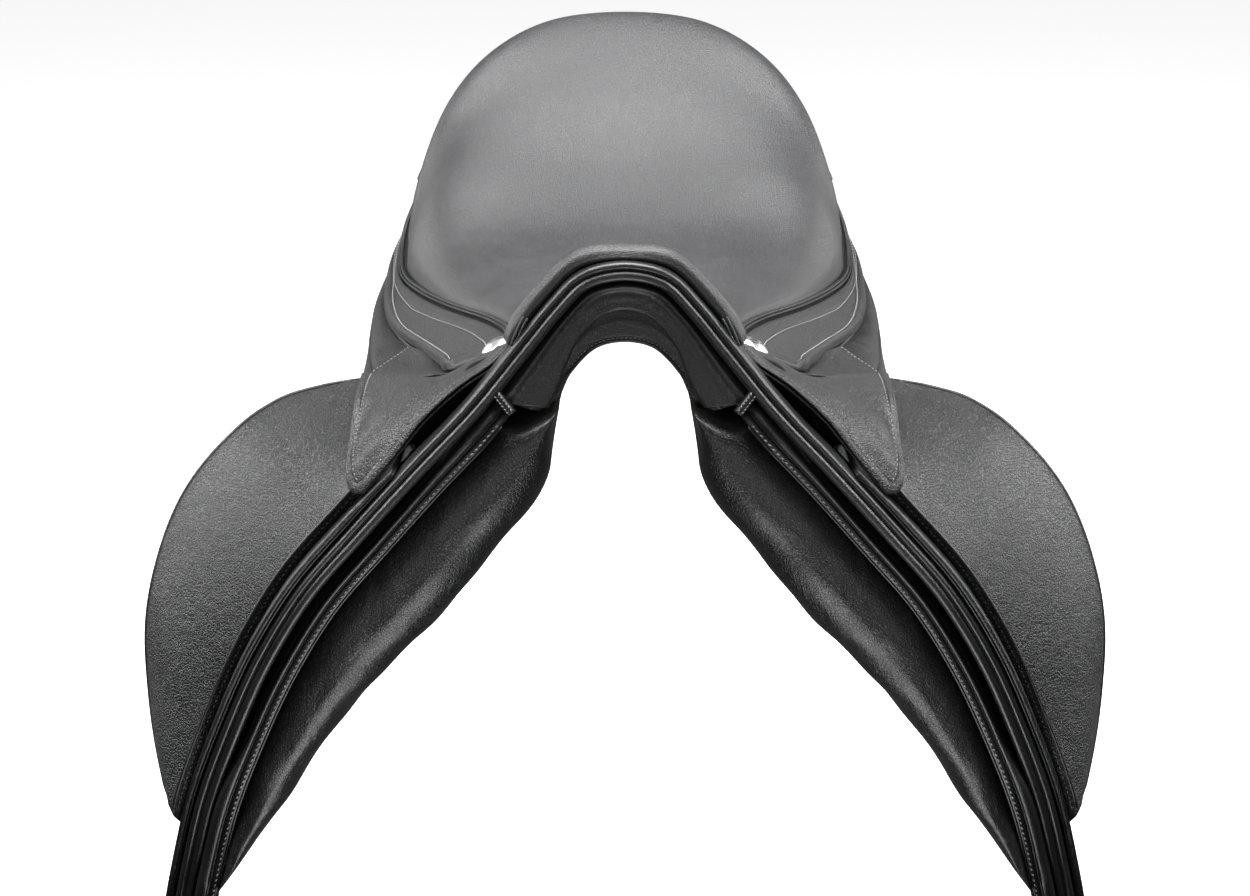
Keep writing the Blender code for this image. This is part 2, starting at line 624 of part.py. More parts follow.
def make_point_pocket(finishes, hand, word):
    """The pocket that holds the end of the tree point."""
    def place(a, b):
        return mix(2.0, 2.75, a), mix(22, 62, b)

    def out(s, y):
        return ramp([(2.3, -6.9), (2.5, -8.2), (2.75, -12.4)], s)

    def inn(s, y):
        return ramp([(2.3, -8.2), (2.5, -10.2), (2.75, -14.2)], s)

    sheet(f"point_pocket_{word}", finishes["flap_leather"], hand, 4, 2, place, out, inn, edge=0.08)


# ---- flaps ------------------------------------------------------------------------------
def flap_edges(a):
    """The flap's front and rear edges at share a down it."""
    front = float(along([(v,) for v in FLAP_EDGE_FRONT], a)[0])
    rear = float(along([(v,) for v in FLAP_EDGE_REAR], a)[0])
    return front, rear


def flap_place(a, b):
    """Outline of the outer flap: share a from the top down and share b from front to rear."""
    y = mix(*flap_edges(mix(0.13, 1.0, a)), b)
    return mix(ramp(FLAP_TOP, y), 10.0, a), y


def lining_place(a, b):
    """Outline of the lining, which alone reaches up to the pommel along the front."""
    y = mix(*flap_edges(mix(0.0, 0.985, a)), mix(0.0, 0.985, b))
    return mix(ramp(LINING_TOP, y), 9.86, a), y


def flap_out(s, y):
    """Outer face of the outer flap."""
    return ramp(FLAP_OUT, s)


def flap_in(s, y):
    """Inner face of the outer flap."""
    return ramp(FLAP_IN, s)


def lining_in(s, y):
    """Inner face of the lining, thick where it rolls round the front edge."""
    front, _ = flap_edges((s - 0.62) / 9.24)
    return mix(ROLL_IN, LINING_IN, ramp([(10, 0), (20, 1)], y - front))


def make_flap(finishes, hand, word, hinge):
    """Outer flap and its rolled lining, with the block and keeper they carry."""
    leather = finishes["flap_leather"]
    sheet(f"flap_{word}", leather, hand, 11, 5, flap_place, flap_out, flap_in, pivot=hinge)
    sheet(f"flap_lining_{word}", leather, hand, 11, 6, lining_place,
          lambda s, y: LINING_OUT, lining_in, pivot=hinge, edge=0.012)
    make_block(finishes, hand, word, hinge)
    make_keeper(finishes, hand, word, hinge)


def block_section(u):
    """One cross section of the block as (s, y, n) points round it."""
    def at(values):
        return float(along([(v,) for v in values], u)[0])

    s, crest, y_c, foot, rear = (at(v) for v in (BLOCK_S, BLOCK_CREST, BLOCK_CREST_Y, BLOCK_FOOT_S, BLOCK_REAR_Y))
    base = FLAP_OUT[-1][1] + 1.3
    lip = min(13.0, mix(base, crest, 0.8))
    ring = [(foot, 4, base), (foot, 1, lip)]
    for f in (0.25, 0.5, 0.75):
        swell = 3.0 * math.sin(math.pi * f) * min(crest / 50, 1)
        ring.append((mix(foot, s, f), mix(1, y_c, f) - swell * 0.6, mix(lip, crest, f) + swell))
    ring.append((s, y_c, crest))
    wall = 5.0 * min(crest / 40, 1)
    ring.append((s, y_c + wall, crest - 0.5 * wall))
    for f in (0.3, 0.65):
        drop = mix(crest - wall, base, f ** 0.6)
        ring.append((s, mix(y_c + wall, rear, f), max(drop, base + 1)))
    ring.append((s, rear, base))
    ring.append((mix(foot, s, 0.5), mix(4, rear, 0.5), base))
    return ring


def make_block(finishes, hand, word, hinge):
    """The large outside block that holds the rider's thigh."""
    stations = [0.0, 0.05, 0.14, 0.25, 0.37, 0.5, 0.62, 0.74, 0.85, 0.94, 1.0]
    rings = [[side(*p) for p in block_section(u)] for u in stations]
    first = np.mean(rings[0], axis=0)
    rings[0] = [mix(p, first, 0.12) for p in rings[0]]
    count = len(rings[0])
    points = [p for ring in rings for p in ring]
    faces = []
    for k in range(len(rings) - 1):
        for j in range(count):
            a, b = k * count + j, k * count + (j + 1) % count
            faces.append((a, b, b + count, a + count))
    faces.append(tuple(range(count - 1, -1, -1)))
    last = (len(rings) - 1) * count
    faces.append(tuple(last + j for j in range(count)))
    solid(f"block_{word}", points, faces, finishes["flap_leather"], hand, hinge)


def make_keeper(finishes, hand, word, hinge):
    """The loop on the outer flap that the stirrup leather is pushed through."""
    low = FLAP_OUT[-1][1] + GAP
    high = low + 13.5
    ring_out = [(low, 150), (low + 2, 146), (high - 2, 146), (high, 150), (high, 182), (high - 2, 186),
                (low + 2, 186), (low, 182)]
    ring_in = [(low + 2.4, 150), (low + 2.8, 149), (high - 2.8, 149), (high - 2.4, 150), (high - 2.4, 182),
               (high - 2.8, 183), (low + 2.8, 183), (low + 2.4, 182)]
    points, faces = [], []
    count = len(ring_out)
    for ring in (ring_out, ring_in):
        for s in (6.8, 7.05):
            points += [side(s, y, n) for n, y in ring]
    for j in range(count):
        k = (j + 1) % count
        faces.append((j, k, count + k, count + j))
        faces.append((3 * count + j, 3 * count + k, 2 * count + k, 2 * count + j))
        faces.append((k, j, 2 * count + j, 2 * count + k))
        faces.append((count + j, count + k, 3 * count + k, 3 * count + j))
    solid(f"keeper_{word}", points, faces, finishes["flap_leather"], hand, hinge)


def make_skirt(finishes, hand, word, hinge):
    """The skirt that folds down over the stirrup bar."""
    rows, cols = 9, 7
    grid = []
    for i in range(rows):
        v = i / (rows - 1)
        row = [along([r[k] for r in SKIRT_ROWS], v) for k in range(len(SKIRT_ROWS[0]))]
        grid.append([along(row, j / (cols - 1)) for j in range(cols)])
    grid = np.array(grid)
    sign = 1 if grid_normals(grid)[4, 3, 2] > 0 else -1
    thick_grid(f"skirt_{word}", finishes["flap_leather"], hand, grid, 0.0, 3.8, sign, 0.5, hinge)


def make_billet(finishes, hand, word, which):
    """A long girth strap hung from its web."""
    y = BILLET_Y[which]
    half = BILLET_WIDTH / 2
    top, bottom = 1.95, BILLET_END

    def place(a, b):
        narrow = ramp([(0.96, 1.0), (1.0, 0.45)], a)
        return mix(top, bottom, a), y + (b - 0.5) * 2 * half * narrow

    def out(s, depth):
        return BILLET_OUT

    def inn(s, depth):
        return BILLET_IN

    sheet(f"billet_{which}_{word}", finishes["flap_leather"], hand, 9, 2, place, out, inn,
          pivot=side(top, y, BILLET_OUT), edge=0.03)


def make_nail(finishes, hand, word):
    """The polished head nail beside the pommel."""
    axis = np.array([0.55, 0.1, 0.83])
    drum(f"head_nail_{word}", finishes["polished"], hand, (75, 47, -68.5), axis,
         [(0, 8.8), (1.2, 9.0), (2.6, 7.4), (3.6, 3.4)], 20)


def main():
    """Builds every piece."""
    for old in list(bpy.data.objects):
        bpy.data.objects.remove(old)
    finishes = make_materials()
    make_seat(finishes)
    make_cantle_back(finishes)
    make_tree(finishes)
    make_girth_webs(finishes)
    make_arch(finishes)
    hinge = (71.0, 18.0, -69.5)
    for hand, word in ((1, "left"), (-1, "right")):
        make_seat_sides(finishes, hand, word)
        make_piping(finishes, hand, word)
        make_rails(finishes, hand, word)
        make_stirrup_bar(finishes, hand, word)
        make_panel(finishes, hand, word)
        make_sweat_flap(finishes, hand, word)
        make_point_pocket(finishes, hand, word)
        make_flap(finishes, hand, word, hinge)
        make_skirt(finishes, hand, word, hinge)
        make_nail(finishes, hand, word)
        for which in BILLET_Y:
            make_billet(finishes, hand, word, which)


main()
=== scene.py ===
"""English dressage saddle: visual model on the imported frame.

Design coordinates are millimetres: x to the saddle's left, y back from the pommel's front and z up
from the pommel's top. Left-hand pieces are drawn and right-hand ones mirrored from them.
"""

import math

import bpy
import numpy as np
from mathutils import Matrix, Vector


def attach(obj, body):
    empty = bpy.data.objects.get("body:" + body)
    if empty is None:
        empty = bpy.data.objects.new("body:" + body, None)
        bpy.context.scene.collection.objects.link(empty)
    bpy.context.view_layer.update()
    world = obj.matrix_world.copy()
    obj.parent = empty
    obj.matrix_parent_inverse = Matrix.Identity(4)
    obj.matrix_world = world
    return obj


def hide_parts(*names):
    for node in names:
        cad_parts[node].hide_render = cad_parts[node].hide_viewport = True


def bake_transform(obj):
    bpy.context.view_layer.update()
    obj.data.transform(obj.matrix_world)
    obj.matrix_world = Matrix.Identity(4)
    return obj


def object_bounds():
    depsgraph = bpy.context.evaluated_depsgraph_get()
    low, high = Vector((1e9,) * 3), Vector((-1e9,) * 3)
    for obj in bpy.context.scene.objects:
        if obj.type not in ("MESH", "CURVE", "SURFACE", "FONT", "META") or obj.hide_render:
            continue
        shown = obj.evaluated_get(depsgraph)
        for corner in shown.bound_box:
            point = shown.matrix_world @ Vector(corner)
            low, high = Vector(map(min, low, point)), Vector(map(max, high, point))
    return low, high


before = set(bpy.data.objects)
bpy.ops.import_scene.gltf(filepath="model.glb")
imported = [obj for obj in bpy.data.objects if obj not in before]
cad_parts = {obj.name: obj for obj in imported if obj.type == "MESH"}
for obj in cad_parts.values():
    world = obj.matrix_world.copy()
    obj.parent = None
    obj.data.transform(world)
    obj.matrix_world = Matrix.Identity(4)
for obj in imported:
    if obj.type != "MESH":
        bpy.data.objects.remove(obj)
cad_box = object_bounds()

# ---- shape tables, repeated from the model ----------------------------------------------
FLAP_FRONT = [(50, -42), (88, -90), (124, -128), (158, -165), (190, -202), (216, -245),
              (236, -290), (253, -336), (265, -384), (275, -432), (282, -478)]
FLAP_MIDDLE = [(96, -84), (140, -104), (170, -130), (193, -163), (211, -202), (226, -245),
               (240, -290), (254, -336), (265, -384), (275, -432), (282, -478)]
FLAP_REAR = [(84, -48), (120, -58), (148, -82), (163, -116)] + FLAP_MIDDLE[4:]
SWEAT_OUT = [-14.8, -14.8, -15.4, -16.5, -17, -16.5, -15.4, -14.6, -14.4, -14.4]
EDGE_FRONT = [-3, -8, -13, -15, -10, -4, 4, 20, 54]
EDGE_REAR = [224, 228, 232, 234, 234, 230, 222, 205, 168]
FLAP_TOP = [(-20, 2.25), (40, 2.0), (100, 2.05), (150, 2.2), (200, 2.36), (240, 2.5)]
LINING_TOP = [(-20, 1.85), (60, 1.97), (150, 2.2), (200, 2.38), (240, 2.52)]
SWEAT_TOP = [(-20, 0.98), (28, 0.98), (48, 1.6), (150, 1.95), (240, 2.1)]
PANEL_LOW = [(1.1, -71), (1.4, -76.5), (1.75, -79), (2.2, -80), (2.6, -81.5), (3.4, -83),
             (4.0, -81.4), (4.6, -75.8), (5.1, -70), (5.5, -66.5), (5.9, -62), (6.3, -57),
             (6.7, -54), (7.1, -48.4), (7.5, -41), (7.9, -34), (8.1, -25), (8.25, -17)]

SEAT_ROWS = [
    [(0, 1, -9.4), (28, 2, -15), (48, 2, -35.5), (60, 3, -50), (65, 4, -57), (68, 6, -61)],
    [(0, 6, -4.5), (28, 6, -9.5), (49, 5, -29.5), (61, 6, -45.5), (66, 7, -54), (69, 10, -61)],
    [(0, 22, -3), (27, 21, -8), (47, 20, -26), (60, 20, -42), (66, 20, -54), (69, 20, -64)],
    [(0, 48, -11), (28, 48, -17), (46, 48, -35), (57, 49, -51), (64, 50, -60), (67, 50, -67)],
    [(0, 90, -35), (28, 90, -39), (48, 90, -51), (60, 90, -61), (66, 90, -66), (69, 91, -71)],
    [(0, 140, -52), (32, 140, -53), (56, 140, -58), (71, 140, -65), (80, 140, -71), (83, 141, -77)],
    [(0, 210, -60), (40, 210, -60), (72, 209, -62), (93, 207, -68), (104, 205, -76), (108, 204, -84)],
    [(0, 280, -52), (48, 280, -50), (86, 277, -52), (111, 272, -60), (125, 268, -74), (129, 265, -89)],
    [(0, 345, -22), (54, 342, -20), (95, 334, -23), (122.5, 322, -38), (138, 312, -64), (142, 305, -87)],
    [(0, 405, 22), (56, 400, 19), (98.5, 386, 5), (126, 360, -24), (140.5, 338, -60), (143, 326, -85)],
    [(0, 455, 57), (52, 448, 52), (92, 426, 35), (120, 396, 4), (137.5, 362, -38), (144, 340, -80)],
    [(0, 474, 61), (52, 467, 55.5), (93, 444, 35), (121, 412, 4), (138.5, 374, -40), (145, 350, -77)],
    [(0, 483, 51), (52, 476, 45), (94, 453, 25), (122, 420, -5), (139.5, 382, -46), (145, 358, -74)],
    [(0, 486, 30), (52, 479, 24), (94, 456, 7), (122.5, 424, -20), (140, 390, -52), (145, 366, -70)],
]
SKIRT_NET = [
    [(64, 22, -60.5), (77, 13, -72.5), (97, 7.5, -85.5), (118, 1, -104), (135, -3.5, -126), (156, -11, -150)],
    [(71.5, 29, -66), (86, 23, -77.5), (103, 24, -87), (122, 20, -97.5), (143, 12, -114), (162, -2, -137)],
    [(80, 34, -71.3), (94, 34, -82), (109, 38, -90), (125, 40, -96.5), (144, 34, -106), (160.5, 22, -118)],
    [(88, 45, -79), (101, 45, -87), (113, 50, -93), (128, 54, -96), (144, 53, -100), (159, 45, -103)],
    [(95, 56, -86), (106, 56, -91.5), (115, 62, -95.5), (129, 69, -97), (144, 73, -97.8), (158.5, 68, -99.5)],
    [(100, 66, -91), (108, 68, -95), (117, 74, -97.5), (130, 84, -98), (143, 90, -98.5), (158, 92, -98.5)],
]
SKIRT_REAR = [
    [(98, 62, -92), (121, 83, -99), (140, 83, -105), (155, 80, -108)],
    [(104, 94, -93), (125, 110, -101.5), (142, 112, -107), (156.5, 114, -111)],
    [(122, 134, -96), (134, 138, -103.5), (146, 140, -109), (157, 142, -114.5)],
    [(133, 162, -99), (141, 165, -105.5), (149, 166, -111.5), (157, 166, -117.5)],
]
GUSSET = [
    [(131, 156, -101.5), (144, 158, -110.5), (155, 159, -119), (164, 160, -128), (169, 161, -134)],
    [(144, 200, -102), (153, 200, -109), (161, 200, -118), (166, 200, -128), (168, 200, -136)],
    [(151, 240, -101.5), (158, 240, -107), (163.5, 240, -116), (165.5, 240, -128), (164, 240, -138)],
    [(155, 280, -99), (161, 280, -105), (165.5, 280, -115), (165, 280, -125), (160, 280, -132)],
    [(156, 320, -94.5), (161, 320, -101), (165, 320, -110), (164, 320, -120), (158, 320, -127)],
    [(152, 360, -86), (157, 361, -93), (159.5, 362, -103), (156, 361, -112), (150, 360, -118)],
    [(142, 394, -77), (147.5, 399, -84), (148, 402, -93), (144, 401, -102), (138, 397, -108)],
    [(122, 423, -69.5), (127, 431, -78), (128, 436, -88), (125, 436, -98), (119, 430, -104)],
    [(92, 446, -60.5), (95, 454, -70), (95, 458, -80), (93, 458, -90), (89, 452, -97)],
    [(56, 461, -51.5), (57, 468, -61), (57, 471, -71), (56, 470, -82), (54, 464, -90)],
    [(34, 466, -48.5), (33, 471, -58), (33, 473, -67), (34, 471, -77), (37, 464, -86)],
]
BAND_INNER = [(69, 40, -68), (70, 66, -71), (73, 96, -75), (85, 141, -80), (110, 205, -87), (131, 266, -92),
              (145, 310, -91), (148, 345, -83), (146, 372, -70), (139, 398, -54)]
BAND_OUTER = [(80, 30, -71), (106, 60, -87), (112.5, 88, -90), (126.5, 145, -95.5), (146, 208, -99),
              (155, 262, -97.5), (157.5, 312, -94), (156, 346, -87), (150, 376, -78), (141, 403, -63)]
BLOCK_S = [1.82, 2.36, 2.8, 3.4, 4.35, 5.4, 6.4, 7.46]
BLOCK_CREST = [22.5, 43, 58, 69, 75.5, 67, 45.5, 10]
BLOCK_CREST_Y = [114, 115, 111, 102, 90, 69, 51, 10]
BLOCK_FOOT_S = [2.45, 2.8, 3.2, 3.65, 4.6, 5.6, 6.5, 7.4]
BLOCK_REAR_Y = [138, 142, 142, 138, 122, 102, 72, 24]
BILLET_Y = {"front": 152.0, "rear": 200.0}

# ---- measures ---------------------------------------------------------------------------
HANDS = ((1, "left"), (-1, "right"))
ORIGIN = np.array((0.0, 230.0, -115.0))  # the frame's origin, in design millimetres
AHEAD = (0, -1.0, 0)  # the way the front faces look
FIRST_STEP, STEP_SPAN = 0.62, 9.24  # flap steps that EDGE_FRONT starts at and covers
FLAP_LONG, FLAP_WIDE = 400, 235
SEAT_LONG, SEAT_WIDE = 620, 260
CANTLE_HIGH, CANTLE_ROUND = 70, 300
SHEET_LONG = 330  # under flap and panel, down the flap line
SHELF = 0.25  # share of the panel that lies under the tree
BILLET_START, BILLET_END = 1.95, 11.2
BILLET_LONG, BILLET_WIDE = 400, 25
REAR_LONG, REAR_WIDE = 85, 52  # the skirt's rear layer
GUSSET_LONG, GUSSET_WIDE, GUSSET_IN = 480.0, 46, 2.5
BLOCK_BASE = 6.6  # height of the flap's face under the block
SKIN_DEEP = 9.0  # an edge distance that leaves a sheet's rim square
GROOVE = 100  # added to the distance from a sewn groove, so that zero means none
FLOOR_DROP = 0.004


# ---- curves -----------------------------------------------------------------------------
def curve(points, t):
    """Points at shares t of a smooth curve through the control points."""
    p = np.asarray(points, float)
    if p.ndim == 1:
        p = p[:, None]
    p = np.concatenate([2 * p[:1] - p[1:2], p, 2 * p[-1:] - p[-2:-1]])
    k = np.clip(np.asarray(t, float), 0, 1) * (len(p) - 3)
    i = np.minimum(k.astype(int), len(p) - 4)
    f = (k - i)[..., None]
    a, b, c, d = (p[i + j] for j in range(4))
    return 0.5 * (2 * b + (c - a) * f + (2 * a - 5 * b + 4 * c - d) * f ** 2
                  + (3 * b - a - 3 * c + d) * f ** 3)


def value(points, t):
    """One number at share t of a smooth curve."""
    return curve(points, t)[..., 0]


def ramp(pairs, x):
    """Value at x on a broken line of (x, value) pairs, eased between them."""
    xs = np.array([p[0] for p in pairs], float)
    vs = np.array([p[1] for p in pairs], float)
    x = np.asarray(x, float)
    i = np.clip(np.searchsorted(xs, x, side="right") - 1, 0, len(xs) - 2)
    f = np.clip((x - xs[i]) / (xs[i + 1] - xs[i]), 0, 1)
    return vs[i] + (vs[i + 1] - vs[i]) * f * f * (3 - 2 * f)


def mix(a, b, t):
    """Straight blend."""
    return a + (b - a) * t


def unit(v):
    """Vectors brought to length one."""
    return v / np.linalg.norm(v, axis=-1, keepdims=True)


def travelled(path):
    """Distance travelled at each point of a path."""
    return np.r_[0, np.cumsum(np.linalg.norm(np.diff(path, axis=0), axis=1))]


def along(at, steps, path):
    """Points of a path at some distances travelled."""
    return np.stack([np.interp(at, steps, column) for column in path.T], -1)


def front_edge(s):
    """Depth of the flap's front edge at flap step s."""
    return value(EDGE_FRONT, np.clip((s - FIRST_STEP) / STEP_SPAN, 0, 1))


def edge_distance(us, vs, length, width):
    """Distance in mm from each grid point to the nearest edge of a sheet."""
    return np.minimum(np.minimum(us, 1 - us)[:, None] * length, np.minimum(vs, 1 - vs)[None, :] * width)


def side(s, y, n):
    """Point s control steps down the flap line at depth y, n mm outside it."""
    s, y, n = np.broadcast_arrays(*(np.asarray(v, float) for v in (s, y, n)))
    w = (np.clip(y, 0, 240) / 240)[..., None] ** 1.3
    r = np.clip((y - 240) / 180, 0, 1.15)[..., None]

    def line(q):
        f, m, k = (curve(v, np.clip(q, 0, 10) / 10) for v in (FLAP_FRONT, FLAP_MIDDLE, FLAP_REAR))
        return np.where(y[..., None] <= 240, f + (m - f) * w, m + (k - m) * r)

    p = line(s)
    t = unit(line(np.minimum(s, 9.95) + 0.05) - line(np.minimum(s, 9.95) - 0.05))
    p = p + t * 48.0 * np.maximum(s - 10, 0)[..., None]
    return np.stack([p[..., 0] - t[..., 1] * n, y, p[..., 1] + t[..., 0] * n], -1)


def spaced(length, step, near=(0, 0.25, 0.7, 1.4, 2.4, 3.8)):
    """Shares across a length in mm, close together at both ends for a rounded edge."""
    near = np.array([v for v in near if v < length * 0.4])
    count = max(int((length - 2 * near[-1]) / step), 1) + 1
    middle = np.linspace(near[-1], length - near[-1], count)
    return np.concatenate([near[:-1], middle, length - near[:-1][::-1]]) / length


def normals_of(grid):
    """Unit normals of a grid of points."""
    n = np.cross(np.gradient(grid, axis=0), np.gradient(grid, axis=1))
    return n / np.maximum(np.linalg.norm(n, axis=2, keepdims=True), 1e-9)


def outward(grid, row, col, axis):
    """Unit normals of a grid, turned so that one of them points up the given axis."""
    n = normals_of(grid)
    return n * (1 if n[row, col, axis] > 0 else -1)


def upright(flat, y):
    """Points (x, z) stood up at depth y."""
    return np.stack([flat[..., 0], y + 0 * flat[..., 0], flat[..., 1]], -1)


def resample(rows, cols, us, vs):
    """Smooth surface through a small net of control points, at shares us by vs."""
    net = np.array(rows, float)
    lines = curve(net.reshape(len(rows), -1), np.asarray(us)).reshape(len(us), cols, 3)
    return np.stack([curve(line, np.asarray(vs)) for line in lines])


class Skin:
    """A gridded surface that points can be read from between its grid lines."""

    def __init__(self, grid, normals, us, vs):
        self.grid, self.normals = grid, normals
        self.us, self.vs = np.asarray(us), np.asarray(vs)

    def read(self, data, u, v):
        i = np.clip(np.searchsorted(self.us, u) - 1, 0, len(self.us) - 2)
        j = np.clip(np.searchsorted(self.vs, v) - 1, 0, len(self.vs) - 2)
        f = ((u - self.us[i]) / (self.us[i + 1] - self.us[i]))[:, None]
        g = ((v - self.vs[j]) / (self.vs[j + 1] - self.vs[j]))[:, None]
        return mix(mix(data[i, j], data[i + 1, j], f), mix(data[i, j + 1], data[i + 1, j + 1], f), g)

    def at(self, u, v, lift=0.0):
        u, v = np.broadcast_arrays(np.asarray(u, float), np.asarray(v, float))
        n = unit(self.read(self.normals, u, v))
        return self.read(self.grid, u, v) + n * lift, n


def even(path, normals, pitch):
    """Path and normals at an even pitch."""
    steps = travelled(path)
    at = np.arange(pitch / 2, steps[-1], pitch)
    return along(at, steps, path), unit(along(at, steps, np.broadcast_to(normals, path.shape)))


# ---- building ---------------------------------------------------------------------------
def put(name, points, faces, look, hand=1, lane=None, sharp=None):
    """A mesh object from design points, mirrored to the right for hand -1."""
    co = (np.asarray(points, float).reshape(-1, 3) - ORIGIN) / 1000
    if hand < 0:
        co[:, 0] *= -1
    mesh = bpy.data.meshes.new(name)
    mesh.from_pydata(co.tolist(), [], faces)
    mesh.calc_loop_triangles()
    tri = np.empty(len(mesh.loop_triangles) * 3, np.int32)
    mesh.loop_triangles.foreach_get("vertices", tri)
    a, b, c = (co[tri.reshape(-1, 3)[:, k]] for k in range(3))
    if np.einsum("ij,ij->i", a, np.cross(b, c)).sum() < 0:
        mesh.flip_normals()
    mesh.shade_smooth()
    if sharp:
        mesh.set_sharp_from_angle(angle=math.radians(sharp))
    if lane is not None:
        made = mesh.attributes.new("lane", "FLOAT", "POINT")
        made.data.foreach_set("value", np.asarray(lane, np.float32).ravel())
    mesh.materials.append(LOOKS[look])
    obj = bpy.data.objects.new(name, mesh)
    bpy.context.scene.collection.objects.link(obj)
    return obj


def grid_faces(rows, cols, base=0, wrap=False):
    """Quads of a grid, closed round its columns when wrapped."""
    i, j = np.meshgrid(np.arange(rows - 1), np.arange(cols if wrap else cols - 1), indexing="ij")
    a, b = i * cols + j, i * cols + (j + 1) % cols
    return (np.stack([a, b, b + cols, a + cols], -1).reshape(-1, 4) + base).tolist()


def shell(name, outer, inner, dist, radius, look, hand=1, lane=None):
    """A sheet between two grids, its edge rounded over radius mm from distances dist."""
    rows, cols = outer.shape[:2]
    f = np.sqrt(1 - (1 - np.clip(dist / radius, 0, 1)) ** 2)[..., None] * 0.98 + 0.02
    middle = (outer + inner) / 2
    points = np.concatenate([(middle + (outer - middle) * f).reshape(-1, 3),
                             (middle + (inner - middle) * f).reshape(-1, 3)])
    faces = grid_faces(rows, cols)
    base = rows * cols
    faces += [f[::-1] for f in grid_faces(rows, cols, base)]
    rim = list(range(cols)) + [i * cols + cols - 1 for i in range(1, rows)]
    rim += [(rows - 1) * cols + j for j in range(cols - 2, -1, -1)]
    rim += [i * cols for i in range(rows - 2, 0, -1)]
    for k, a in enumerate(rim):
        b = rim[(k + 1) % len(rim)]
        faces.append([b, a, base + a, base + b])
    if lane is not None:
        lane = np.concatenate([GROOVE + lane.ravel(), np.full(base, GROOVE + 50.0)])
    return put(name, points, faces, look, hand, lane)


def tube(name, rings, look, hand=1, caps=True, sharp=None):
    """A closed skin through rings of points (rows, ring, 3)."""
    rows, cols = rings.shape[:2]
    faces = grid_faces(rows, cols, wrap=True)
    if caps:
        faces.append(list(range(cols))[::-1])
        faces.append([(rows - 1) * cols + j for j in range(cols)])
    return put(name, rings, faces, look, hand, sharp=sharp)


def cordage(name, path, radius, look, hand=1, sides=10):
    """A thin round welt along a path, tapering shut at both ends."""
    path = np.asarray(path, float)
    t = unit(np.gradient(path, axis=0))
    u = unit(np.cross(t, (0.12, 1.0, 0.2)))
    v = np.cross(t, u)
    steps = travelled(path)
    end = np.minimum(steps, steps[-1] - steps)
    r = radius * np.sqrt(1 - (1 - np.clip(end / radius, 0.02, 1)) ** 2)
    w = np.arange(sides) * 2 * math.pi / sides
    rings = (path[:, None] + u[:, None] * (np.cos(w)[None, :, None] * r[:, None, None])
             + v[:, None] * (np.sin(w)[None, :, None] * r[:, None, None]))
    return tube(name, rings, look, hand)


def stitches(name, path, normals, hand=1, pitch=2.9, size=2.1, width=0.42, slant=0.12, look="thread"):
    """A row of short thread stitches along a path on a surface."""
    size = min(size, pitch * 0.58)
    p, n = even(np.asarray(path, float), np.asarray(normals, float), pitch)
    t = unit(np.gradient(p, axis=0))
    t = unit(t + np.cross(n, t) * slant)
    b = np.cross(n, t)
    rings = []
    for along, wide, lift in ((-0.5, 0.35, -0.5), (-0.3, 0.95, 0.25), (0.0, 1.0, 0.45),
                              (0.3, 0.95, 0.25), (0.5, 0.35, -0.5)):
        centre = p + t * (along * size) + n * (lift * width)
        for k in range(6):
            w = k * math.pi / 3
            rings.append(centre + b * (math.cos(w) * width * wide)
                         + n * (math.sin(w) * width * 0.8 * wide))
    points = np.stack(rings, 1)
    faces = []
    one = grid_faces(5, 6, wrap=True) + [[5, 4, 3, 2, 1, 0], [24, 25, 26, 27, 28, 29]]
    for k in range(len(p)):
        faces += [[i + k * 30 for i in f] for f in one]
    return put(name, points, faces, look, hand)


# ---- materials --------------------------------------------------------------------------
LOOKS = {}


class Nodes:
    """A new material's node tree, with short calls for what the looks share."""

    def __init__(self, name):
        self.made = bpy.data.materials.new(name)
        self.made.use_nodes = True
        self.tree = self.made.node_tree
        self.shader = self.tree.nodes["Principled BSDF"]
        self.place = self.new("ShaderNodeTexCoord").outputs["Object"]

    def new(self, kind, **inputs):
        """A node with some of its inputs set."""
        node = self.tree.nodes.new(kind)
        self.set(node, **inputs)
        return node

    def set(self, node, **inputs):
        """Input values by name, with underscores for spaces."""
        for key, v in inputs.items():
            node.inputs[key.replace("_", " ")].default_value = v

    def link(self, a, b):
        self.tree.links.new(a, b)

    def math(self, kind, a, b):
        node = self.new("ShaderNodeMath")
        node.operation = kind
        for socket, v in ((node.inputs[0], a), (node.inputs[1], b)):
            if isinstance(v, (int, float)):
                socket.default_value = v
            else:
                self.link(v, socket)
        return node.outputs[0]

    def noise(self, vector, scale, detail=3.0, rough=0.55, distortion=0.0):
        node = self.new("ShaderNodeTexNoise", Scale=scale, Detail=detail, Roughness=rough,
                        Distortion=distortion)
        self.link(vector, node.inputs["Vector"])
        return node.outputs["Fac"]

    def ramp(self, value, low, high, out_low, out_high):
        node = self.new("ShaderNodeMapRange", From_Min=low, From_Max=high, To_Min=out_low,
                        To_Max=out_high)
        node.interpolation_type = "SMOOTHSTEP"
        self.link(value, node.inputs["Value"])
        return node.outputs["Result"]

    def bump(self, height, distance, before=None):
        node = self.new("ShaderNodeBump", Strength=1.0, Distance=distance)
        self.link(height, node.inputs["Height"])
        if before is not None:
            self.link(before, node.inputs["Normal"])
        return node.outputs["Normal"]

    def stretched(self, stretch):
        """The place on the object, scaled by a different amount each way."""
        node = self.new("ShaderNodeMapping", Scale=stretch)
        self.link(self.place, node.inputs["Vector"])
        return node.outputs[0]

    def tint(self, colour, shade):
        """The base colour, multiplied by a shade."""
        node = self.new("ShaderNodeMix")
        node.data_type = "RGBA"
        node.blend_type = "MULTIPLY"
        self.set(node, Factor=1.0, A=(*colour, 1))
        self.link(shade, node.inputs["B"])
        self.link(node.outputs["Result"], self.shader.inputs["Base Color"])


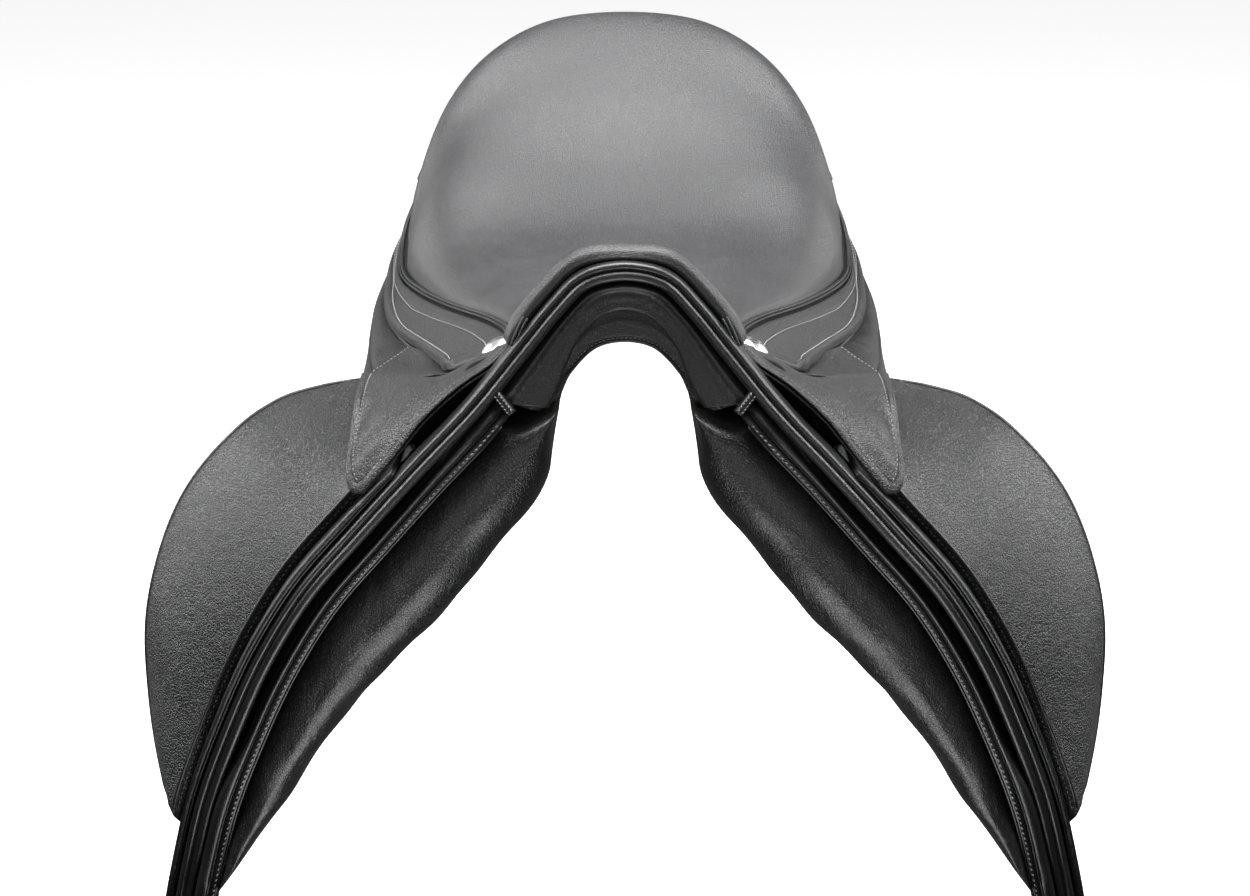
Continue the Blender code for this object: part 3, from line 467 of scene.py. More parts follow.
def leather(name, colour, rough, grain, crease, stretch=(1, 1, 1), coat=0.15, wear=0.25):
    """Grained leather: fine pebble with painted shade in its crevices, soft creases, sewn grooves darkened
    with painted shade, and a little wear.
    """
    n = Nodes(name)
    drawn = n.stretched(stretch)
    warp = n.new("ShaderNodeTexNoise", Scale=320)
    n.link(n.place, warp.inputs["Vector"])
    shift = n.new("ShaderNodeVectorMath")
    shift.operation = "MULTIPLY_ADD"
    n.link(warp.outputs["Color"], shift.inputs[0])
    shift.inputs[1].default_value = (0.0012, 0.0012, 0.0012)
    n.link(n.place, shift.inputs[2])
    cells = n.new("ShaderNodeTexVoronoi", Scale=540)
    cells.feature = "DISTANCE_TO_EDGE"
    n.link(shift.outputs[0], cells.inputs["Vector"])
    pebble = n.ramp(cells.outputs["Distance"], 0.0, 0.2, 0.0, 1.0)
    fine = n.noise(n.place, 950, 3.0)
    broad = n.noise(n.place, 140, 4.0, 0.62)
    folds = n.noise(drawn, 46, 5.0, 0.6, 0.6)
    tone = n.noise(n.place, 17, 3.0)
    streak = n.noise(drawn, 90, 6.0, 0.7, 1.0)
    patch = n.math("ADD", n.math("MULTIPLY", tone, 0.55), n.math("MULTIPLY", streak, 0.45))
    shade = n.ramp(patch, 0.34, 0.66, 1 - wear, 1 + wear)
    # painted shade: the base colour falls to 0.75 along the pebble edges, standing in for shade in the
    # grain's crevices
    shade = n.math("MULTIPLY", shade, n.ramp(pebble, 0.0, 1.0, 0.75, 1.0))
    lane = n.new("ShaderNodeAttribute")
    lane.attribute_name = "lane"
    off = n.math("ABSOLUTE", n.math("SUBTRACT", lane.outputs["Fac"], GROOVE), 0.0)
    sewn = n.ramp(off, 0.0, 1.5, 1.0, 0.0)
    # painted shade: the base colour falls to 0.35 in the sewn grooves that the lane attribute marks, standing
    # in for shade in these recesses
    n.tint(colour, n.math("MULTIPLY", shade, n.ramp(sewn, 0.0, 1.0, 1.0, 0.35)))
    n.link(n.ramp(patch, 0.3, 0.7, rough - 0.06, rough + 0.07), n.shader.inputs["Roughness"])
    n.set(n.shader, Specular_IOR_Level=0.5, Coat_Weight=coat, Coat_Roughness=0.3, Sheen_Weight=0.05,
          Sheen_Roughness=0.4)
    bumps = n.bump(folds, 0.0018 * crease)
    bumps = n.bump(broad, 0.0007 * grain, bumps)
    bumps = n.bump(n.math("ADD", pebble, n.math("MULTIPLY", fine, 0.5)), 0.0003 * grain, bumps)
    bumps = n.bump(n.math("SUBTRACT", 1.0, sewn), 0.0009, bumps)
    n.link(bumps, n.shader.inputs["Normal"])
    n.made.diffuse_color = (*colour, 1)
    return n.made


def thread(name, shade):
    """Twisted waxed thread in a grey shade."""
    n = Nodes(name)
    twist = n.new("ShaderNodeTexWave", Scale=900, Distortion=2)
    n.link(n.place, twist.inputs["Vector"])
    n.tint(shade, n.ramp(twist.outputs["Fac"], 0, 1, 0.7, 1.1))
    n.set(n.shader, Roughness=0.6)
    n.link(n.bump(twist.outputs["Fac"], 0.0001), n.shader.inputs["Normal"])
    return n.made


def plain_noise(name, colour, rough, metallic, scale, spread, depth, stretch=(1, 1, 1)):
    """Wood, web or metal from stretched noise."""
    n = Nodes(name)
    grain = n.noise(n.stretched(stretch), scale, 5.0, 0.65, 0.4)
    n.tint(colour, n.ramp(grain, 0.3, 0.7, 1 - spread, 1 + spread))
    n.link(n.ramp(grain, 0.3, 0.7, rough * 0.8, rough * 1.2), n.shader.inputs["Roughness"])
    n.set(n.shader, Metallic=metallic)
    n.link(n.bump(grain, depth), n.shader.inputs["Normal"])
    return n.made


def make_looks():
    """Every material."""
    LOOKS.update(
        seat=leather("seat_calf", (0.03, 0.03, 0.0315), 0.48, 0.35, 0.15, coat=0.05, wear=0.12),
        skirt=leather("skirt_calf", (0.021, 0.021, 0.022), 0.42, 1.2, 0.3, coat=0.1, wear=0.15),
        flap=leather("flap_hide", (0.009, 0.009, 0.0095), 0.35, 0.5, 0.3, (1, 0.3, 1), coat=0.2),
        roll=leather("roll_calf", (0.007, 0.007, 0.0075), 0.36, 0.2, 0.12, (1, 1, 0.25), coat=0.25),
        block=leather("block_calf", (0.011, 0.011, 0.0115), 0.4, 1.3, 0.6, coat=0.15, wear=0.2),
        panel=leather("panel_calf", (0.006, 0.006, 0.0065), 0.36, 0.4, 0.8, (1, 1, 0.35), coat=0.25),
        facing=leather("facing_calf", (0.009, 0.009, 0.0095), 0.42, 0.3, 0.4, coat=0.1),
        # near-black: the hidden foam core's colour, and painted shade where this look fills the gap behind
        # the rolled edge, the seam behind the seat welts and the billet holes
        suede=leather("flesh_side_and_shade", (0.003, 0.003, 0.003), 0.9, 1.0, 0.2, coat=0.0, wear=0.3),
        thread=thread("grey_thread", (0.42, 0.42, 0.43)),
        dull_thread=thread("dull_thread", (0.3, 0.3, 0.3)),
        polished=plain_noise("nickel", (0.85, 0.85, 0.87), 0.3, 1.0, 300, 0.04, 0.00002),
        steel=plain_noise("forged_steel", (0.5, 0.51, 0.53), 0.34, 1.0, 400, 0.12, 0.00005, (1, 0.1, 1)),
        wood=plain_noise("stained_ply", (0.05, 0.033, 0.02), 0.55, 0.0, 60, 0.3, 0.0002, (1, 0.08, 1)),
        web=plain_noise("linen_web", (0.52, 0.48, 0.38), 0.9, 0.0, 900, 0.3, 0.0003))


# ---- the front spine: pommel crown, then down the flap's front edge ---------------------
def spine():
    """Points, outward normals, flap steps and edge depths every 2 mm from the crown down."""
    crown = [(-44, -35), (-26, -17.2), (0, -11.2), (26, -17.2), (44, -35), (58, -52.5)]
    top = curve(crown, np.linspace(0.4, 1.0, 60))[:-1]
    s = np.linspace(0.52, 9.9, 420)
    low = side(s, 0.0, 0.0)[:, [0, 2]]
    line = np.concatenate([top, low])
    steps = np.concatenate([np.linspace(-2.0, 0.45, len(top)), s])
    length = travelled(line)
    at = np.arange(0, length[-1], 2.0)
    p = along(at, length, line)
    s = np.interp(at, length, steps)
    for _ in range(6):
        p[1:-1] = (p[:-2] + 2 * p[1:-1] + p[2:]) / 4
    t = np.gradient(p, axis=0)
    t[0] = (1, 0)
    t = unit(t)
    return p, np.stack([-t[:, 1], t[:, 0]], -1), s, front_edge(s)


def extrude(profile, keep):
    """Rings of a (depth, offset) profile carried along the kept part of the spine."""
    p, n, _, edge = (v[keep] for v in SPINE)
    flat = p[:, None] + n[:, None] * profile[None, :, 1:]
    return upright(flat, edge[:, None] + profile[None, :, 0])


def smooth_ring(points, count):
    """A closed smooth ring through control points."""
    p = np.asarray(points, float)
    loop = np.concatenate([p[-2:], p, p[:3]])
    t = np.linspace(2, len(p) + 2, count, endpoint=False) / (len(loop) - 1)
    return curve(loop, t)


def make_edge_roll(hand, word):
    """The double roll that crosses the pommel and runs down the flap's front edge."""
    ring = [(17, 0.3), (9, 0.5), (3, 0.5), (0.4, 0.1), (-0.9, -1.0), (-1.1, -2.2), (-0.4, -3.3),
            (0.5, -3.9), (-0.2, -4.7), (-1.5, -5.9), (-2.1, -7.4), (-1.6, -9.1), (0.2, -10.4),
            (3, -10.8), (8, -10), (13, -7), (17, -5.2)]
    profile = smooth_ring(ring, 56)
    keep = SPINE[2] < 9.82
    rings = extrude(profile, keep)
    s = SPINE[2][keep]
    squeeze = ramp([(8.9, 0.0), (9.8, 1.0)], s)[:, None, None]
    middle = rings.mean(axis=1, keepdims=True)
    rings = mix(rings, mix(rings, middle, 0.12), squeeze)
    obj = tube(f"edge_roll_{word}", rings, "roll", hand, sharp=70)
    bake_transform(obj)
    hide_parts(f"flap_lining_{word}")


# ---- seat -------------------------------------------------------------------------------
def whole(row):
    """A row from right to left, from its half."""
    return [(-x, y, z) for x, y, z in reversed(row[1:])] + list(row)


def make_seat():
    """Seat cover from the pommel to the cantle, with its welted seams and small tucks."""
    start = [0, 0.003, 0.008, 0.016]
    us = np.concatenate([start, np.linspace(0.028, 0.985, 110), [0.991, 0.996, 1.0]])
    vs = np.concatenate([start, np.linspace(0.028, 0.972, 92), [0.984, 0.992, 0.997, 1.0]])
    grid = resample([whole(row) for row in SEAT_ROWS], 11, us, vs)
    n = outward(grid, 60, 50, 2)
    waist = np.abs(vs - 0.5)[None, :] * 2
    swell = 0.8 * np.sin(math.pi * np.clip((waist - 0.1) / 0.85, 0, 1))
    swell = swell * ramp([(60, 0), (150, 1)], grid[..., 1])
    grid = grid + n * (swell[..., None] - 0.2)
    step = np.linalg.norm(np.diff(grid, axis=0), axis=2)
    behind = np.concatenate([np.zeros((1, len(vs))), np.cumsum(step, axis=0)])
    roll = 2.6 * np.exp(-((behind - 11) / 6.5) ** 2) - 2.6 * np.exp(-((behind - 27) / 7.0) ** 2)
    grid = grid + n * (roll * ramp([(0.0, 0.35), (0.25, 1), (0.9, 1), (1.0, 0.2)], waist))[..., None]
    edge = edge_distance(us, vs, SEAT_LONG, SEAT_WIDE)
    tuck = 2.2 * (1 - np.clip(edge / 5.0, 0, 1)) ** 2
    obj = shell("seat_cover_hide", grid - n * tuck[..., None], grid - n * 3.2, edge, 1.2, "seat")
    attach(obj, "saddle")
    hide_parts("seat_cover")
    share = np.linspace(0, 1, 14)
    for hand, word in HANDS:
        low = curve(BAND_INNER, np.linspace(0.0, 1.0, 120)) + (-0.9, 0, 4.9)
        obj = cordage(f"seat_welt_{word}", low, 1.1, "flap", hand)
        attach(obj, "saddle")
        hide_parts(f"seat_piping_{word}")
        obj = cordage(f"seat_welt_second_{word}", low + (1.5, -0.4, -1.5), 0.8, "flap", hand)
        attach(obj, "saddle")
        # the cover's edge tucked in where the side bands end, and the tab over the bar's front end
        path = curve([(136.9, 390.3, -51.2), (136.0, 393.4, -49.0), (135.0, 396.8, -46.6)], share)
        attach(cordage(f"seat_tuck_{word}", path, 2.0, "seat", hand), "saddle")
        path = curve([(106.2, 68.6, -96.4), (106.9, 71.0, -96.9), (107.5, 73.2, -97.3)], share)
        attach(cordage(f"bar_tab_{word}", path, 0.9, "skirt", hand), "saddle")


def make_cantle():
    """Welt round the cantle's rear seam and the leather behind it."""
    top = [(0, 486, 29), (51, 479, 23), (95, 456, 6), (126, 424, -21), (141, 397, -47)]
    path = curve(whole(top), np.linspace(0.02, 0.98, 160))
    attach(cordage("cantle_welt", path, 2.0, "roll", 1), "saddle")
    top = [(0, 485, 27), (51, 478, 21), (95, 455, 4), (126, 423, -23), (140, 396, -48)]
    low = [(0, 470, -44), (50, 464, -49), (92, 446, -59), (121, 424, -68), (141, 398, -76)]
    us, vs = spaced(CANTLE_HIGH, 4), spaced(CANTLE_ROUND, 5)
    a, b = curve(whole(top), vs), curve(whole(low), vs)
    grid = mix(a[None], b[None], us[:, None, None])
    n = outward(grid, 8, 30, 1)
    centre = np.abs(vs - 0.5) * CANTLE_ROUND
    bulge = 3.4 * np.sin(math.pi * us)[:, None] ** 0.7
    bulge = bulge * (1 - np.exp(-(centre / 16) ** 2) * 0.45)[None, :]
    grid = grid + n * bulge[..., None]
    edge = edge_distance(us, vs, CANTLE_HIGH, CANTLE_ROUND)
    lane = np.minimum(np.abs(centre - 3.0)[None, :] + 0 * edge, np.abs(edge - 5))
    obj = shell("cantle_back_hide", grid, grid - n * 4, edge, 2, "skirt", lane=lane)
    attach(obj, "saddle")
    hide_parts("cantle_back")
    skin = Skin(grid, n, us, vs)
    for k, share in enumerate((0.49, 0.51)):
        p, nn = skin.at(np.linspace(0.06, 0.94, 60), np.full(60, share), 0.1)
        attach(stitches(f"cantle_back_stitch_{k}", p, nn), "saddle")
    p, nn = skin.at(np.full(200, 0.93), np.linspace(0.03, 0.97, 200), 0.1)
    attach(stitches("cantle_back_hem_stitch", p, nn), "saddle")


def make_seat_side(hand, word):
    """The puffed band under the seat, its stitch row, and the padded ridge along its edge."""
    us = np.concatenate([np.linspace(0, 0.3, 60)[:-1], np.linspace(0.3, 1, 100)])
    vs = np.concatenate([[0, 0.01, 0.03], np.linspace(0.06, 0.94, 48), [0.97, 0.99, 1.0]])
    a, b = curve(BAND_INNER, us), curve(BAND_OUTER, us)
    grid = mix(a[:, None], b[:, None], vs[None, :, None])
    n = outward(grid, 90, 20, 2)
    width = np.linalg.norm(b - a, axis=1)[:, None]
    across = vs[None, :] * width
    puff_end = np.minimum(0.42 * width, 13)
    back = ramp([(325, 1), (400, 0.25)], b[:, 1])[:, None]
    puff = 2.4 * back * np.sin(math.pi * np.clip(across / puff_end, 0, 1)) ** 0.8
    fromedge = width - across
    start = ramp([(0.095, 0), (0.118, 1)], us)[:, None]
    ridge = 3.2 * np.exp(-((fromedge - 3.4) / 2.3) ** 2) * start * back
    drop = -2.2 * np.clip(1 - fromedge / 2.2, 0, 1) ** 2
    dive = -0.6 * (1 - start) * ramp([(0, 0), (5, 1)], across - puff_end)
    lift = puff + ridge + drop + dive
    outer = grid + n * lift[..., None]
    edge = np.minimum(np.minimum(us, 1 - us)[:, None] * 400, np.minimum(across, fromedge))
    lane = np.minimum(np.abs(across - puff_end - 0.4), np.abs(fromedge - 6.6) + (1 - start) * 9)
    obj = shell(f"seat_side_hide_{word}", outer, grid - n * 3.2, edge, 1.2, "skirt", hand, lane)
    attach(obj, "saddle")
    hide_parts(f"seat_side_{word}")
    skin = Skin(outer, n, us, vs)
    u = np.linspace(0.03, 0.99, 300)
    w = np.interp(u, us, width[:, 0])
    e = np.interp(u, us, puff_end[:, 0])
    p, nn = skin.at(u, (e + 0.4) / w, 0.05)
    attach(stitches(f"seat_side_stitch_{word}", p, nn, hand, pitch=3.7, size=1.5, width=0.33),
            "saddle")
    u = np.linspace(0.12, 0.97, 300)
    w = np.interp(u, us, width[:, 0])
    p, nn = skin.at(u, 1 - 6.6 / w, 0.05)
    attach(stitches(f"seat_ridge_stitch_{word}", p, nn, hand, pitch=3.3, size=1.5, width=0.35),
            "saddle")
    # painted shade: a near-black strip fills the seam's gap behind the welts, between the seat cover and the
    # band
    seam = curve(BAND_INNER, us[4:-2])
    high, low = seam + (-4.5, -1.0, 5.0), seam + (-1.0, 0.0, -0.8)
    strip = mix(high[:, None], low[:, None], np.linspace(0, 1, 6)[None, :, None])
    half = normals_of(strip) * 0.5
    square = np.full(strip.shape[:2], SKIN_DEEP)
    obj = shell(f"seat_seam_strip_{word}", strip + half, strip - half, square, 1, "suede", hand)
    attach(obj, "saddle")


# ---- pommel and arch --------------------------------------------------------------------
def make_facing():
    """The padded facing of the arch, the lining that shows inside it and their stitching."""
    vs = np.linspace(0, 1, 161)
    inner_line = curve([(-44, -99), (-37, -83), (-28.5, -62), (-15, -46), (0, -40.6), (15, -46),
                        (28.5, -62), (37, -83), (46, -99)], vs)
    last = np.searchsorted(SPINE[2], 0.95)
    half = SPINE[0][:last + 1] - SPINE[1][:last + 1] * 11.0
    line = np.concatenate([half[::-1][:-1] * (-1, 1), half])
    length = travelled(line)
    outer_line = along(np.linspace(0, length[-1], len(vs)), length, line)
    us = np.concatenate([[0, 0.015, 0.04, 0.08], np.linspace(0.13, 0.9, 22), [0.94, 0.97, 0.99, 1.0]])
    grid = mix(outer_line[None], inner_line[None], us[:, None, None])
    depth = 3.4 - 3.0 * np.exp(-((us - 0.17) / 0.13) ** 2) - 1.4 * np.sin(math.pi * us)
    ripple = 0.16 * np.sin(us * 19 + 0.6) * np.clip(us * 3, 0, 1)
    front = upright(grid, (depth + ripple)[:, None])
    edge = edge_distance(us, vs, np.linalg.norm(inner_line - outer_line, axis=1)[None, :], 230)
    obj = shell("arch_facing_hide", front, upright(grid, 7.0), edge, 1.6, "facing")
    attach(obj, "saddle")
    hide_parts("arch_facing")
    rim = [(-50, -101), (-38, -92), (-31, -78.5), (-17, -64), (0, -60), (17, -64), (31, -78.5),
           (38, -92), (50, -101)]
    low = curve(rim, vs)
    back = curve([(-62, -98), (-48, -84), (-36, -60), (-19, -42), (0, -36), (19, -42), (36, -60),
                  (48, -84), (62, -98)], vs)
    us = np.concatenate([np.linspace(0, 0.9, 16), [0.94, 0.97, 0.99, 1.0]])
    grid = mix(back[None], low[None], us[:, None, None])
    span = np.linalg.norm(low - back, axis=1)[None, :]
    depth = 5.2 - 1.2 * np.sin(math.pi * us) ** 2 + 0.12 * np.sin(us * 23)
    edge = edge_distance(us, vs, span, 210)
    lane = np.abs((1 - us)[:, None] * span - 3.2)
    front = upright(grid, depth[:, None])
    obj = shell("arch_inner_hide", front, upright(grid, 9.5), edge, 1.4, "facing", lane=lane)
    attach(obj, "saddle")
    path = curve(rim, np.linspace(0.2, 0.8, 120))
    path = path + unit(path - (0.0, -110.0)) * 3.2
    obj = stitches("arch_stitch", upright(path, 4.9), AHEAD, pitch=2.6, size=1.7, width=0.26,
                   look="dull_thread")
    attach(obj, "saddle")


def make_gullet_lining():
    """The smooth lining that turns under the arch and runs back under the head."""
    deep, round_arch = 58, 110
    us = spaced(deep, 3.5)
    vs = np.linspace(0, 1, 81)
    rows = []
    for y in (8.0, 36.0, 66.0):
        drop = (y - 8) * 0.12
        rows.append(whole([(0, y, -56.5 - drop), (16, y, -60.5 - drop), (29, y, -74 - drop * 0.8),
                           (35, y, -86), (37.5, y, -95)]))
    grid = resample(rows, 9, us, vs)
    edge = edge_distance(us, vs, deep, round_arch)
    obj = shell("gullet_lining_hide", grid + outward(grid, 10, 40, 2) * 2.4, grid, edge, 1.0, "facing")
    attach(obj, "saddle")
    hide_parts("gullet_lining")


def make_pommel_bits(hand, word):
    """Welted pleats at the ends of the pommel, the polished nail and the stitched tab."""
    for k, (shift, look) in enumerate(((0.0, "seat"), (2.6, "flap"))):
        path = curve([(58.2 - shift, 1.6, -43.5 - shift * 0.4), (60.8 - shift, 0.2, -49),
                      (63 - shift, -0.2, -54), (65.6 - shift * 0.8, 0.0, -60.5)], np.linspace(0, 1, 30))
        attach(cordage(f"pommel_pleat_{k}_{word}", path, 0.8, look, hand, 8), "saddle")
    centre = np.array((75.2, 36.5, -70.5))
    axis = unit(np.array([0.5, -0.3, 0.81]))
    u = unit(np.cross(axis, (0, 1, 0)))
    v = np.cross(axis, u)
    profile = [(0.0, 8.4), (0.5, 9.0), (1.1, 9.1), (1.5, 8.8), (1.7, 8.0), (2.4, 7.2), (3.2, 5.6),
               (3.7, 3.4), (3.9, 0.6)]
    w = np.arange(48) * math.pi / 24
    rings = np.array([[centre + axis * a + (u * math.cos(q) + v * math.sin(q)) * r for q in w]
                      for a, r in profile])
    obj = tube(f"nail_head_{word}", rings, "polished", hand, sharp=40)
    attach(obj, "saddle")
    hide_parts(f"head_nail_{word}")
    first, last = np.array([74.8, -87.0]), np.array([65.0, -100.2])
    way = unit(last - first)
    off = np.array([-way[1], way[0]])
    long, half = 16.4, 3.0
    t, c = spaced(long, 1.2, (0, 0.25, 0.7, 1.4)), np.linspace(-1, 1, 17)
    flat = first + (last - first) * t[:, None, None] + off * c[None, :, None] * half
    y = -5.6 + 2.0 * c[None, :] ** 2 + 0.6 * np.exp(-(c[None, :] / 0.22) ** 2)
    edge = np.minimum(np.minimum(t, 1 - t)[:, None] * long, (1 - np.abs(c))[None, :] * half)
    obj = shell(f"facing_tab_{word}", upright(flat, y), upright(flat, 1.0), edge, 1.3, "roll", hand)
    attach(obj, "saddle")
    for k, q in enumerate((-1.3, 1.3)):
        flat = first + (last - first) * np.linspace(0.06, 0.94, 24)[:, None] + off * q
        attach(stitches(f"tab_stitch_{k}_{word}", upright(flat, -5.5), AHEAD, hand, pitch=2.3, size=1.7,
                         width=0.36, slant=0.4 * (1 - 2 * k)), "saddle")


# ---- flaps ------------------------------------------------------------------------------
def flap_area(last, top, edge_from, edge_to, inset_front, inset_rear):
    """Steps, depths and edge distances of a flap-shaped sheet with rounded lower corners."""
    us, vs = spaced(FLAP_LONG, 6.0), spaced(FLAP_WIDE, 6.0)
    a, b = np.meshgrid(us, vs, indexing="ij")
    t = mix(edge_from, edge_to, a)
    y = mix(value(EDGE_FRONT, t) + inset_front, value(EDGE_REAR, t) - inset_rear, b)
    low = last + 0.08 - 0.55 * np.abs(2 * b - 1) ** 3
    return mix(ramp(top, y), low, a), y, edge_distance(us, vs, FLAP_LONG, FLAP_WIDE)


def make_flap(hand, word):
    """The outer flap on its thin backing, and the lining behind the rolled edge."""
    body = f"flap_{word}"
    s, y, edge = flap_area(10.0, FLAP_TOP, 0.16, 1.0, 0.0, 0.0)
    outer = side(s, y, ramp([(1.8, 4.6), (3.2, 6.8)], s))
    inner = side(s, y, ramp([(1.8, 2.7), (3.2, 3.5)], s))
    obj = shell(f"flap_hide_{word}", outer, inner, edge, 1.5, "flap", hand, np.abs(edge - 6.0))
    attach(obj, body)
    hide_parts(body)
    s, y, edge = flap_area(9.97, FLAP_TOP, 0.16, 0.995, 0.8, 0.8)
    outer = side(s, y, ramp([(1.8, 3.0), (3.2, 3.8)], s))
    inner = side(s, y, ramp([(1.8, 1.5), (3.2, 1.9)], s))
    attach(shell(f"flap_backing_{word}", outer, inner, edge, 0.8, "roll", hand), body)
    s, y, edge = flap_area(9.86, LINING_TOP, 0.06, 0.985, 12.0, 0.5)
    belly = ramp([(14, 0), (50, 1)], y) * ramp([(84, 1), (104, 0)], y)
    inner = side(s, y, -5.2 - 2.4 * belly)
    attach(shell(f"flap_lining_hide_{word}", side(s, y, 1.9), inner, edge, 2.4, "panel", hand), body)
    t = np.linspace(0, 1, 260)
    y = value(EDGE_REAR, mix(0.15, 0.985, t)) - 6.0
    path = side(mix(2.3, 9.6, t), y, 7.0)
    out = side(mix(2.3, 9.6, t), y, 8.0) - path
    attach(stitches(f"flap_hem_stitch_{word}", path, out, hand, look="dull_thread"), body)


def block_ring(u):
    """One cross section of the block, as (s, y, n) control points round it."""
    s, crest, y_c, foot, rear = (float(value(v, u)) for v in
                                 (BLOCK_S, BLOCK_CREST, BLOCK_CREST_Y, BLOCK_FOOT_S, BLOCK_REAR_Y))
    base = BLOCK_BASE
    e = max(float(front_edge(foot)) + 2.5, 0.8)
    lip = min(13.0, mix(base, crest, 0.8))
    ring = [(foot, e + 5, base), (foot, e + 2.4, base), (foot, e + 1.4, mix(base, lip, 0.5)),
            (foot, e + 0.8, lip - 0.8), (mix(foot, s, 0.01), e + 0.1, lip),
            (mix(foot, s, 0.03), e, lip + 0.8)]
    for f in (0.12, 0.25, 0.4, 0.55, 0.7, 0.85):
        swell = 3.4 * math.sin(math.pi * f) * min(crest / 50, 1)
        ring.append((mix(foot, s, f), mix(e, y_c, f ** 1.1) - swell * 0.6, mix(lip, crest, f) + swell))
    small = min(crest / 40, 1)
    wall = 5.0 * small
    ring.append((s, y_c - 1.6 * small, crest - 0.5 * small))
    ring.append((s, y_c - 0.2, crest + 0.3))
    ring.append((s, y_c + wall * 0.5, crest + 0.2 * small))
    ring.append((s, y_c + wall, crest - 0.9 * wall))
    for f in (0.2, 0.45, 0.7, 0.9):
        drop = mix(crest - wall, base, f ** 0.55)
        ring.append((s, mix(y_c + wall, rear, f), max(drop, base + 1)))
    ring.append((s, rear, base))
    for f in (0.75, 0.5, 0.25):
        ring.append((mix(foot, s, f), mix(e + 5, rear, f), base))
    return ring


def make_block(hand, word):
    """The thigh block: a welted foot, a broad front face, a piped rim and a hollowed back."""
    body = f"flap_{word}"
    us = np.concatenate([[0, 0.012, 0.03, 0.055], np.linspace(0.085, 0.93, 60),
                         [0.955, 0.975, 0.99, 1.0]])
    rings = np.array([block_ring(u) for u in us])
    points = side(rings[..., 0], rings[..., 1], rings[..., 2])
    ends = np.minimum(us, 1 - us) * 260
    f = np.sqrt(1 - (1 - np.clip(ends / 7, 0.0, 1)) ** 2) * 0.92 + 0.08
    foot = side(rings[..., 0].mean(axis=1), rings[..., 1].mean(axis=1), BLOCK_BASE)[:, None]
    points = foot + (points - foot) * f[:, None, None]
    obj = tube(f"block_hide_{word}", np.array([smooth_ring(row, 96) for row in points]), "block", hand)
    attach(obj, body)
    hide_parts(f"block_{word}")
    # piping round the rim and along the foot, and the foot's stitches
    rings = rings[2:-2]
    path = side(rings[1:, 12, 0], rings[1:, 12, 1] + 1.2, rings[1:, 12, 2] + 0.1)
    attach(cordage(f"block_rim_welt_{word}", path, 1.15, "roll", hand), body)
    path = side(rings[:, 4, 0], rings[:, 4, 1] - 0.6, rings[:, 4, 2])
    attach(cordage(f"block_foot_welt_{word}", path, 0.95, "roll", hand), body)
    path = side(rings[:, 2, 0], rings[:, 2, 1] - 0.2, rings[:, 2, 2])
    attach(stitches(f"block_foot_stitch_{word}", path, AHEAD, hand, pitch=3.4, size=1.8, width=0.3,
                     look="dull_thread"), body)


def make_sweat_flap(hand, word):
    """The under flap: its front roll, flat stitched band and sheet."""
    keep = (SPINE[2] > 0.72) & (SPINE[2] < 8.95)
    s = SPINE[2][keep]
    out = value(SWEAT_OUT, s / 9)
    ring = [(16, -0.1), (8, 0.0), (3, 0.0), (0.6, -0.2), (-1.3, -1.0), (-1.9, -2.1), (-1.3, -3.3),
            (0.2, -3.9), (0.5, -4.4), (-0.3, -5.1), (-0.7, -6.4), (-0.7, -8.0), (0.2, -9.2),
            (3, -9.3), (9, -7.5), (16, -4)]
    profile = smooth_ring(ring, 60)
    grow = ramp([(0.72, 3.6), (2.6, 0)], s) + ramp([(6.0, 0), (7.0, 3.7)], s)
    pn = profile[None, :, 1] + grow[:, None] * np.clip((profile[None, :, 1] + 4.2) / 4.2, 0, 1)
    front = [(0.72, 5), (1.02, -2), (1.4, -5), (6.6, -5), (8.0, 3), (8.95, 19)]
    y0 = ramp(front, s)
    grid = side(s[:, None], 0 * s[:, None], out[:, None] + pn)
    grid[..., 1] = y0[:, None] + profile[None, :, 0]
    end = (ramp([(8.6, 0), (8.95, 1)], s) + ramp([(0.72, 0.7), (0.95, 0)], s))[:, None, None]
    grid = mix(grid, mix(grid, grid.mean(axis=1, keepdims=True), 0.5), end)
    obj = tube(f"sweat_roll_{word}", grid, "roll", hand)
    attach(obj, "saddle")
    q = np.linspace(1.04, 8.5, 400)
    o = value(SWEAT_OUT, q / 9)
    yq = ramp(front, q)
    path = side(q, 0 * q, o - 7.3)
    path[:, 1] = yq - 0.75
    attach(stitches(f"sweat_stitch_{word}", path, AHEAD, hand, pitch=3.6, size=2.2, width=0.4,
                     slant=0.35), "saddle")
    path = side(q, 0 * q, o - 9.7)
    path[:, 1] = yq + 0.6
    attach(cordage(f"panel_welt_{word}", path[::4], 1.0, "roll", hand), "saddle")
    us, vs = spaced(SHEET_LONG, 6), spaced(FLAP_WIDE, 6)
    a, b = np.meshgrid(us, vs, indexing="ij")
    front = ramp([(0, 6), (0.8, 6), (0.95, 10), (1.0, 16)], a)
    rear = ramp([(0, 232), (0.7, 230), (0.93, 200), (1.0, 150)], a)
    y = mix(front, rear, b)
    s = mix(ramp(SWEAT_TOP, y), 8.85 - 0.9 * np.abs(2 * b - 1) ** 3, a)
    out = value(SWEAT_OUT, s / 9)
    belly = ramp([(16, 0), (60, 1)], y) * ramp([(84, 1), (104, 0)], y)
    belly = belly * (np.clip(-out - 11.9, 0, 4) + 2.4 * ramp([(7.2, 0), (7.9, 1)], s))
    edge = edge_distance(us, vs, SHEET_LONG, FLAP_WIDE)
    obj = shell(f"sweat_flap_hide_{word}", side(s, y, out + belly), side(s, y, out - 3.6), edge, 1.8,
                "flap", hand, np.abs(edge - 6))
    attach(obj, "saddle")
    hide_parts(f"sweat_flap_{word}")


